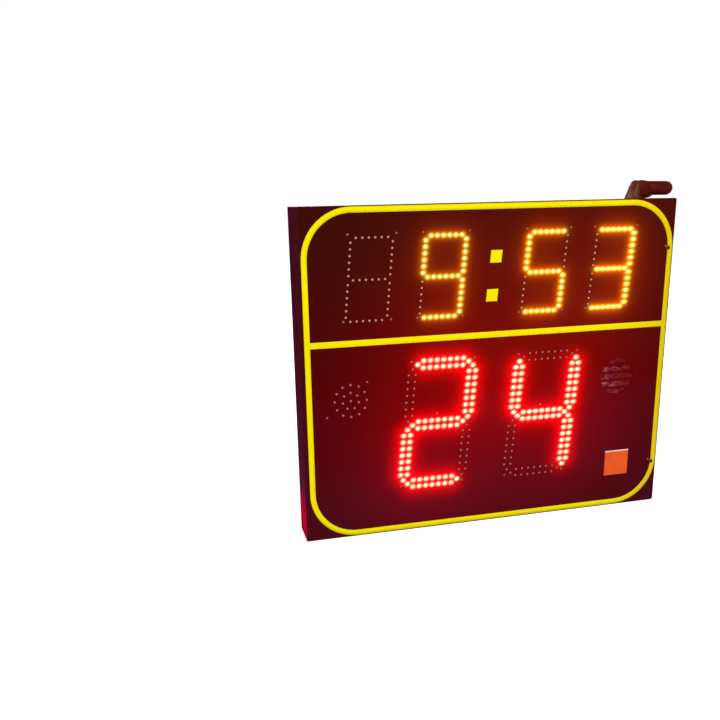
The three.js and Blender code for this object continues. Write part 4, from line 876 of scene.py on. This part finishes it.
def walled(x, y, z, cells, back):
    """A sheet between the front surface y(x, z) and a flat back, with walls wherever a kept cell has no
    neighbour."""
    rows, columns = x.shape
    number = np.arange(rows * columns).reshape(rows, columns)
    a, b, c, d = number[:-1, :-1], number[:-1, 1:], number[1:, 1:], number[1:, :-1]
    front = np.stack([a, b, c, d], -1)[cells]
    size = rows * columns
    kept = np.pad(cells, 1)
    walls = []
    for shift, p, q in (((-1, 0), a, b), ((0, 1), b, c), ((1, 0), c, d), ((0, -1), d, a)):
        beside = kept[1 + shift[0]:kept.shape[0] - 1 + shift[0], 1 + shift[1]:kept.shape[1] - 1 + shift[1]]
        bare = cells & ~beside
        walls.append(np.stack([q[bare], p[bare], p[bare] + size, q[bare] + size], -1))
    points = np.vstack([np.stack([x, y, z], -1).reshape(-1, 3),
                        np.stack([x, np.full(x.shape, back), z], -1).reshape(-1, 3)])
    quads = np.vstack([front, front[:, ::-1] + size, *walls])
    used = np.unique(quads)
    place = np.zeros(len(points), int)
    place[used] = np.arange(len(used))
    return Shape(points[used], place[quads])


sheet = walled(*front_sheet(), PANEL_BACK)
outer_face = sheet.points[:, 1:2] < FRONT + 3
mouth = np.hypot(sheet.points[:, 0] - HORN_X, sheet.points[:, 2] - HORN_Z)[:, None] < GRILLE + 1
inner_light = (mouth & ~outer_face) * np.array(linear(70, 1, 3)[:3])
put("front_sheet", sheet, FRONT_ENAMEL, replaces=["front_panel"],
    glow=light_on(sheet.points[:, 0], sheet.points[:, 2]) * outer_face + inner_light, right=False)


# Lit faces: a fine skin over each lit digit, which carries the light between its lamps

FACE_PITCH = 1.8
FACE_MARGIN = 4.0
PROUD, BORDER_PROUD = 0.08, 0.01


def lit_face(digit):
    """A leaning grid 1.8 mm apart, 0.08 mm proud, that comes down to the panel along its border, with
    one flat face behind it."""
    across = digit.half_width + FACE_MARGIN
    up = digit.half_height + FACE_MARGIN
    us = np.linspace(-across, across, int(2 * across / FACE_PITCH))
    vs = np.linspace(-up, up, int(2 * up / FACE_PITCH))
    v, u = np.meshgrid(vs, us, indexing="ij")
    x, z = digit.x + u + v * LEAN, digit.z + v
    y = np.full(x.shape, FRONT - PROUD)
    y[0], y[-1], y[:, 0], y[:, -1] = [FRONT - BORDER_PROUD] * 4
    shape = skin(np.stack([x, y, z], -1), closed=False)
    number = np.arange(x.size).reshape(x.shape)
    border = np.concatenate([number[0, :-1], number[:-1, -1], number[-1, :0:-1], number[:0:-1, 0]])
    back = shape.points[border] + (0, 0.03, 0)
    count = len(shape.points)
    here = np.arange(len(border))
    following = np.roll(here, -1)
    walls = np.stack([border[following], border, count + here, count + following], -1)
    return Shape(np.vstack([shape.points, back]), np.vstack([shape.quads, walls]),
                 [list(range(count + len(border) - 1, count - 1, -1))])


for digit in DIGITS:
    if len(digit.lit):
        face = lit_face(digit)
        put(f"{digit.name}_lit_face", face, FRONT_ENAMEL,
            glow=light_on(face.points[:, 0], face.points[:, 2]))


# Lamps: a domed lens on a short barrel, and the rim of its hole

LENS = turned([(0, -30), (2.5, -30), (2.5, -32.9), (2.5, -33.5), (2.25, -34.2), (1.5, -34.8), (0, -35)], 12)
HOLE = ring_of([(2.5, FRONT - 0.1), (2.5, FRONT + 0.3), (3.1, FRONT + 0.3), (3.05, FRONT - 0.1)], 12)


def standing(places):
    """Places of the front (x, z) as places of the scene, with no depth."""
    x, z = np.asarray(places).T
    return np.stack([x, np.zeros(len(x)), z], 1)


def lens_light(shape, tip, foot):
    """Light of a lit lens: from the foot's colour to the tip's, by how far a point stands out, and none
    on the barrel behind the panel's face."""
    rise = np.clip((-33.2 - shape.points[:, 1]) / 1.2, 0, 1)[:, None]
    outside = shape.points[:, 1:2] < FRONT + 0.5
    return (np.asarray(foot) + (np.asarray(tip) - np.asarray(foot)) * rise) * outside


def lens_tint(shape, pale):
    """Colour of an unlit lens: dark at the foot, and a pale painted highlight over the middle of its tip, by
    the rise to the power 1.3."""
    rise = np.clip((-33.9 - shape.points[:, 1]) / 0.9, 0, 1)[:, None] ** 1.3
    dark = np.array(linear(88, 24, 20)[:3])
    return dark + (np.array(pale[:3]) - dark) * rise


def lamps_off(name, places, pale, node):
    """Unlit lamps and the rims of their holes."""
    # pale is the colour of the painted highlight on each lens tip
    lenses = repeated(LENS, standing(places))
    put(f"{name}_lamps", lenses, CLEAR_RESIN, replaces=[node],
        tint=lens_tint(lenses, pale), smooth=60)
    put(f"{node}_hole_rims", repeated(HOLE, standing(places)), HOLE_RIM)


def carrier(node, outline):
    """The black block that carries a group of lamps, behind the panel."""
    put(f"{node}_carrier", slab(outline, BEHIND_PANEL, BLOCK_BACK), BLACK_MOULDING,
        replaces=[node])


for digit in DIGITS:
    outer = digit.leaning([(u * digit.half_width, v * digit.half_height)
                           for u, v in ((-1, -1), (1, -1), (1, 1), (-1, 1))])
    carrier(digit.name, eased(outer, 3.0))
    if len(digit.lit):
        lenses = repeated(LENS, standing(digit.lit))
        put(f"{digit.name}_lit_lamps", lenses, digit.finish, replaces=[digit.name],
            glow=lens_light(lenses, digit.tip, digit.foot), smooth=60)
    lamps_off(f"{digit.name}_unlit", digit.unlit, digit.pale, digit.name)

cluster = np.vstack([[(LAMP_X, LAMP_Z)], disc(LAMP_X, LAMP_Z, 15, 7, 90), disc(LAMP_X, LAMP_Z, 29.5, 12)])
carrier("lamp_cluster", disc(LAMP_X, LAMP_Z, 41, 48))
# The lamp cluster's lenses get a pinkish painted highlight on their tips
lamps_off("lamp_cluster", cluster, linear(176, 108, 116), "lamp_cluster")

# Printed border

BORDER_LEFT, BORDER_RIGHT, BORDER_BOTTOM, BORDER_TOP = -351.0, 358.0, 2.0, 598.5
BAND, BORDER_RADIUS = 10.0, 88.0
DIVIDER_BOTTOM, DIVIDER_TOP = 360.1, 371.1


def window(left, right, bottom, top, lower, upper):
    """A window's outline, its lower and upper corners quarter circles with their own radii."""
    def corner(x, z, radius, start):
        t = np.linspace(start, start + math.pi / 2, 25)
        return np.stack([x + radius * np.cos(t), z + radius * np.sin(t)], 1) if radius else [[x, z]]
    return np.vstack([
        corner(right - lower, bottom + lower, lower, -math.pi / 2),
        corner(right - upper, top - upper, upper, 0.0),
        corner(left + upper, top - upper, upper, math.pi / 2),
        corner(left + lower, bottom + lower, lower, math.pi),
    ])


border = holed_plate(
    window(BORDER_LEFT, BORDER_RIGHT, BORDER_BOTTOM, BORDER_TOP, BORDER_RADIUS, BORDER_RADIUS),
    [window(BORDER_LEFT + BAND, BORDER_RIGHT - BAND, DIVIDER_TOP, BORDER_TOP - BAND,
            0, BORDER_RADIUS - BAND),
     window(BORDER_LEFT + BAND, BORDER_RIGHT - BAND, BORDER_BOTTOM + BAND, DIVIDER_BOTTOM,
            BORDER_RADIUS - BAND, 0),
     *[disc(SCREW_X, z, 3.4, 24) for z in SCREW_ZS]],
    FRONT - 0.2, FRONT + 0.02)
put("border_print", border, YELLOW_PRINT, replaces=["border_stripe"], smooth=0)

# Case profiles, with their edges eased


def profile(side, section, low, high, axis, coat=CASE_COAT):
    """A profile's section carried along an axis, its corners eased by 0.35 mm and its ends by 0.3 mm."""
    put(f"{side}_profile", slab(eased(section, 0.35, 2), low, high, 0.3, axis), coat,
        replaces=[f"frame_{side}"])


def cross_section(outer, inward):
    """A profile's section as (depth, place): the wall from the outer face inwards, with a flange at the
    front and one at the back."""
    inner = outer + inward * WALL
    return [(PANEL_BACK, outer), (CASE_BACK, outer), (CASE_BACK, inner), (BACK_FLANGE[1], inner),
            (BACK_FLANGE[1], inner + inward * BACK_REACH), (BACK_FLANGE[0], inner + inward * BACK_REACH),
            (BACK_FLANGE[0], inner), (FRONT_FLANGE_BACK, inner),
            (FRONT_FLANGE_BACK, inner + inward * FRONT_REACH), (PANEL_BACK, inner + inward * FRONT_REACH)]


# The left profile has a lip over the panel's edge. Behind its front flange it mirrors the right one.
WALL_FACE = HALF_WIDTH - WALL
right_section = [(x, y) for y, x in cross_section(HALF_WIDTH, -1)]
profile("left", [
    (-HALF_WIDTH, FRONT), (LIP - HALF_WIDTH, FRONT), (LIP - HALF_WIDTH, FRONT + 1.8),
    (-WALL_FACE, FRONT + 1.8), (-WALL_FACE, BEHIND_PANEL), (FRONT_REACH - WALL_FACE, BEHIND_PANEL),
    *[(-x, y) for x, y in right_section[8:1:-1]], (-HALF_WIDTH, CASE_BACK)], 0, HEIGHT, "z", MATT_COAT)
profile("right", right_section, 0, HEIGHT, "z")
profile("top", cross_section(HEIGHT, -1), 0.3 - WALL_FACE, WALL_FACE - 0.3, "x")
profile("bottom", cross_section(0, 1), 0.3 - WALL_FACE, WALL_FACE - 0.3, "x")

# Screws


def screw_head(radius, height, sides):
    """A pan head with a cross recess: its face is height (1 - 0.35 r^2) at share r of the radius, lower
    by the recess where either of two crossed bars covers the point. It points towards -Y from y = 0."""
    r = np.array([[0.14], [0.28], [0.5], [0.62], [0.8], [0.94], [1.0]])
    t = angles(sides)
    across, up = r * np.cos(t), r * np.sin(t)
    cross = ((np.abs(across) < 0.15) | (np.abs(up) < 0.15)) & (r < 0.6)
    rise = height * (1 - 0.35 * r ** 2) - cross * 0.45 * height
    face = laid(radius * across, radius * up, -rise, "y")
    seat = laid(radius * across[-1], radius * up[-1], np.zeros(sides), "y")
    shape = skin(np.concatenate([face, seat[None]]))
    shape.odd = [list(range(sides)), list(range(len(r) * sides, (len(r) + 1) * sides))]
    return shape


for name, z in zip(("panel_screw_upper", "panel_screw_lower"), SCREW_ZS):
    place = np.array([SCREW_X, 0.0, z])
    head = repeated(screw_head(3.2, 1.7, 24), place + (0, FRONT - 0.05, 0))
    shank = repeated(turned([(1.7, FRONT), (1.7, -23.2)], 12), place)
    put(f"{name}_head", joined(head, shank), COATED_SCREW, replaces=[name])

# The blocks' fixing screws, and one beside each panel screw
CLUSTER_FIXINGS = [(30.7, 32.5), (-44.0, -27.7)]
EDGE_FIXINGS = [(344.3, 512.9), (341.7, 89.6)]
fixings = np.vstack([*[digit.leaning(digit.fixings) for digit in DIGITS],
                     np.array(CLUSTER_FIXINGS) + (LAMP_X, LAMP_Z), EDGE_FIXINGS])
put("block_screws", repeated(screw_head(1.9, 0.7, 12), standing(fixings) + (0, FRONT, 0)), DULL_SCREW)

# Fixings on the back: the sheet's edge screws, the rails' feet, and the service plate's corners


def put_behind(name, places, head, face):
    """Bright screw heads turned half round, so that they point backwards, their seats at the face."""
    heads = repeated(spun(head, "z", 180), standing(places) + (0, face, 0))
    put(name, heads, BRIGHT_STEEL)


SIDES = (-1, 1)
edge_x, edge_z = HALF_WIDTH - 12.0, 12.0
sheet_screws = [(side * edge_x, z) for side in SIDES for z in np.linspace(edge_z, HEIGHT - edge_z, 7)]
sheet_screws += [(x, z) for x in np.linspace(-174.0, 174.0, 4) for z in (edge_z, HEIGHT - edge_z)]
plate_screws = [(PLATE_X + a * 82, PLATE_Z + b * 31) for a in SIDES for b in SIDES]
foot_screws = [(side * RAIL_X + foot * 27, z) for side in SIDES for foot in SIDES
               for z in np.linspace(48.0, 552.0, 5)]
put_behind("back_sheet_screws", sheet_screws, screw_head(3.4, 1.3, 20), CASE_BACK)
put_behind("service_plate_screws", plate_screws, screw_head(2.8, 1.1, 20), PLATE_FACE)
put_behind("rail_foot_screws", foot_screws, screw_head(4.6, 2.0, 24), CASE_BACK + 2.5)

# Channel scale: ten numbers and their ticks round the knob, and half the thickness of their ink

CHANNELS, NUMBER_RADIUS, NUMBER_SIZE = 10, 20.0, 5.2
INK = 0.04


def numeral(text, size, x, z, face):
    """A plain number as a thin raised print that reads from behind, so that across runs towards -X:
    (x - u, face, z + v)."""
    curve = bpy.data.curves.new("numeral", "FONT")
    curve.body, curve.size, curve.extrude = text, size, INK
    curve.align_x, curve.align_y = "CENTER", "CENTER"
    holder = bpy.data.objects.new("numeral", curve)
    flat = holder.to_mesh()
    points = [(x - v.co.x, face + INK + v.co.z, z + v.co.y) for v in flat.vertices]
    shape = Shape(points, None, [list(polygon.vertices) for polygon in flat.polygons])
    holder.to_mesh_clear()
    bpy.data.objects.remove(holder)
    bpy.data.curves.remove(curve)
    return shape


marks = []
for channel in range(CHANNELS):
    degrees = channel * 360 / CHANNELS
    across = NUMBER_RADIUS * math.sin(math.radians(degrees))
    up = NUMBER_RADIUS * math.cos(math.radians(degrees))
    marks.append(numeral(str(channel), NUMBER_SIZE, KNOB_X - across, PLATE_Z + up, PLATE_FACE))
    tick = spun(slab(block(-0.3, 0.3, 13.4, 16.0), 0.0, 2 * INK, 0.01), "y", degrees)
    marks.append(repeated(tick, [(KNOB_X, PLATE_FACE, PLATE_Z)]))
put("channel_scale", joined(*marks), SCALE_INK, smooth=0)

# Aerial

FOLD_HEIGHT = FOLD_Z - HEIGHT
FOOT_RADIUS = 18.6
TONGUE_RADIUS, TONGUE_HALF = 13.6, 4.6
CHEEK_RADIUS, CHEEK_CLEARANCE = 14.4, 0.4
CHEEK_DEPTHS = ((-12.4, -5.0), (5.0, 12.4))
ARM_RADIUS, ARM_START, ARM_REACH, ARM_END = 12.7, 14.0, 70.6, 14.0
ARM_POWER, ARM_FALL = 2.3, 1.0


def aerial_foot():
    """The foot is a height over its round plan: the turned profile, cut down to the sweep of the arm's
    knuckle, z = fold - sqrt(R^2 - (x - fold)^2). A round tongue stands in its middle."""
    sides, rings = 64, 40
    r = np.linspace(0.02, 1, rings)[:, None] * FOOT_RADIUS
    t = angles(sides)
    x, y = r * np.cos(t), r * np.sin(t)
    rise = np.interp(r, [0, 9.9, 11.0, 12.8, 15.0, 17.2, FOOT_RADIUS], [26, 26, 24.0, 18.0, 11.2, 5.6, 1.6])
    off = x - (FOLD_X - AERIAL_X)
    knuckle = CHEEK_RADIUS + CHEEK_CLEARANCE
    sweep = FOLD_HEIGHT - np.sqrt(np.maximum(knuckle ** 2 - off ** 2, 0)) + 9 * (off < -knuckle)
    sweep = np.where(off > 0, np.minimum(sweep, 4.2), sweep)
    rise = np.maximum(np.minimum(rise, sweep), 1.0)
    top = np.stack([AERIAL_X + x, AERIAL_Y + y, HEIGHT + rise], -1)
    low = top[-1].copy()
    low[:, 2] = HEIGHT + 0.3
    shape = skin(np.concatenate([top, low[None]]))
    shape.odd = [list(range(sides)), list(range(rings * sides, (rings + 1) * sides))]
    tongue = disc(FOLD_X, FOLD_Z, TONGUE_RADIUS, 48)
    return joined(shape, slab(tongue, AERIAL_Y - TONGUE_HALF, AERIAL_Y + TONGUE_HALF, 0.6))


def aerial_cheeks():
    """The two cheeks beside the tongue. On the side away from the arm a cheek's radius is 14.4 mm, less
    a rubbed hollow of 4 exp(-((t - 158) / 30)^2) at t degrees."""
    full = CHEEK_RADIUS
    towards_arm = eased([(0, -full), (10, -13.2), (16, -12.0), (16, 12.0), (10, 13.2), (0, full)], 1.0, 2)
    degrees = np.linspace(90, 270, 25)
    radius = full - 4.0 * np.exp(-((degrees - 158) / 30) ** 2)
    t = np.radians(degrees)
    away = radius[:, None] * np.stack([np.cos(t), np.sin(t)], 1)
    outline = np.vstack([away, towards_arm[towards_arm[:, 0] > 1]])
    outline = outline[np.argsort(np.arctan2(outline[:, 1], outline[:, 0]))] + (FOLD_X, FOLD_Z)
    return [slab(outline, AERIAL_Y + low, AERIAL_Y + high, 2.2, steps=4) for low, high in CHEEK_DEPTHS]


def aerial_web():
    """The web under the knuckle, which closes the corner between the arm and the foot: an outline about
    the fold, its inner edge on a circle 0.3 mm clear of the tongue."""
    t = np.radians([-35, -46, -58])
    outline = [(7.4, -14.35), (12.6, -14.35), (14.4, -17.4), (17, -17.9), (20.5, -16.8), (24, -14.8),
               (29, -12.4), (29, -8.0), *(TONGUE_RADIUS + 0.3) * np.stack([np.cos(t), np.sin(t)], 1)]
    return slab(np.array(outline) + (FOLD_X, FOLD_Z), AERIAL_Y - 8, AERIAL_Y + 8, 0.8)


def aerial_arm():
    """The arm is carried from its cheeks. Its radius is 12.7 mm, closing at the tip as
    (1 - s^2.3)^(1/2.3), and its middle line falls a millimetre along its reach."""
    sides = 48
    end_start = ARM_REACH - ARM_END
    close = np.sin(np.linspace(0, math.pi / 2, 14)[1:-1])
    s = np.concatenate([np.linspace(ARM_START, end_start, 12), ARM_REACH - ARM_END * (1 - close)])[:, None]
    into = np.clip((s - end_start) / ARM_END, 0, 1)
    radius = ARM_RADIUS * (1 - into ** ARM_POWER) ** (1 / ARM_POWER)
    fall = ARM_FALL * (s - ARM_START) / (ARM_REACH - ARM_START)
    t = angles(sides)
    shape = skin(np.stack([
        FOLD_X + s + 0 * t, AERIAL_Y + radius * np.cos(t), FOLD_Z - fall + radius * np.sin(t)], -1))
    tip = len(shape.points)
    shape.points = np.vstack([shape.points, [(FOLD_X + ARM_REACH, AERIAL_Y, FOLD_Z - ARM_FALL)]])
    last = (len(s) - 1) * sides
    shape.odd = [list(range(sides))] + [[last + i, last + (i + 1) % sides, tip] for i in range(sides)]
    return joined(shape, aerial_web(), *aerial_cheeks())


put("aerial_swivel", aerial_foot(), AERIAL_RUBBER, "aerial_foot", ["aerial_foot"])
put("aerial_stub", aerial_arm(), AERIAL_RUBBER, "aerial_arm", ["aerial_arm"])

# Horn behind the grille: its mouth's curve as shares of radius and depth, then its outside and its body

MOUTH_RADIUS, MOUTH_DEPTH, HORN_WALL = 38.0, 24.0, 2.0
THROAT_Y, BODY_RADIUS, BODY_FRONT, BODY_BACK = -4.7, 25.0, -4.0, 15.3
flare = np.array([[1, 0], [0.8, 0.05], [0.62, 0.12], [0.5, 0.2], [0.4, 0.3], [0.31, 0.45], [0.25, 0.6],
                  [0.2, 0.8], [0.18, 1.0]])
bell = flare * (MOUTH_RADIUS, MOUTH_DEPTH) + (0, BEHIND_PANEL)
body = [(BODY_RADIUS, BODY_FRONT), (BODY_RADIUS, BODY_BACK), (0, BODY_BACK)]
horn = turned(np.vstack([[(0, THROAT_Y)], bell[::-1], bell[:-1] + (HORN_WALL, 0), body]), 64,
              (HORN_X, 0, HORN_Z))
put("horn_bell", horn, HORN_MOULDING, replaces=["horn"], smooth=40)

# Floor
FLOOR_HALF, FLOOR_Z = 8.0, -0.0004
floor_mesh = bpy.data.meshes.new("floor")
floor_mesh.from_pydata([(x * FLOOR_HALF, y * FLOOR_HALF, FLOOR_Z) for x, y in block(-1, 1, -1, 1)], [],
                       [(0, 1, 2, 3)])
floor = bpy.data.objects.new("floor", floor_mesh)
bpy.context.scene.collection.objects.link(floor)
floor_finish = bpy.data.materials.new("pale_floor")
floor_finish.use_nodes = True
tree = floor_finish.node_tree
tree.nodes.clear()
matt = add_node(tree, "ShaderNodeBsdfDiffuse", {"Color": (0.8, 0.8, 0.8, 1.0)})
veil = add_node(tree, "ShaderNodeEmission", {"Strength": 0.62})
none = add_node(tree, "ShaderNodeEmission", {"Strength": 0.0})
both = add_node(tree, "ShaderNodeAddShader", {0: matt.outputs[0], 1: daylight(tree, none, veil)})
add_node(tree, "ShaderNodeOutputMaterial", {"Surface": both.outputs[0]})
floor_mesh.materials.append(floor_finish)

bpy.context.view_layer.update()
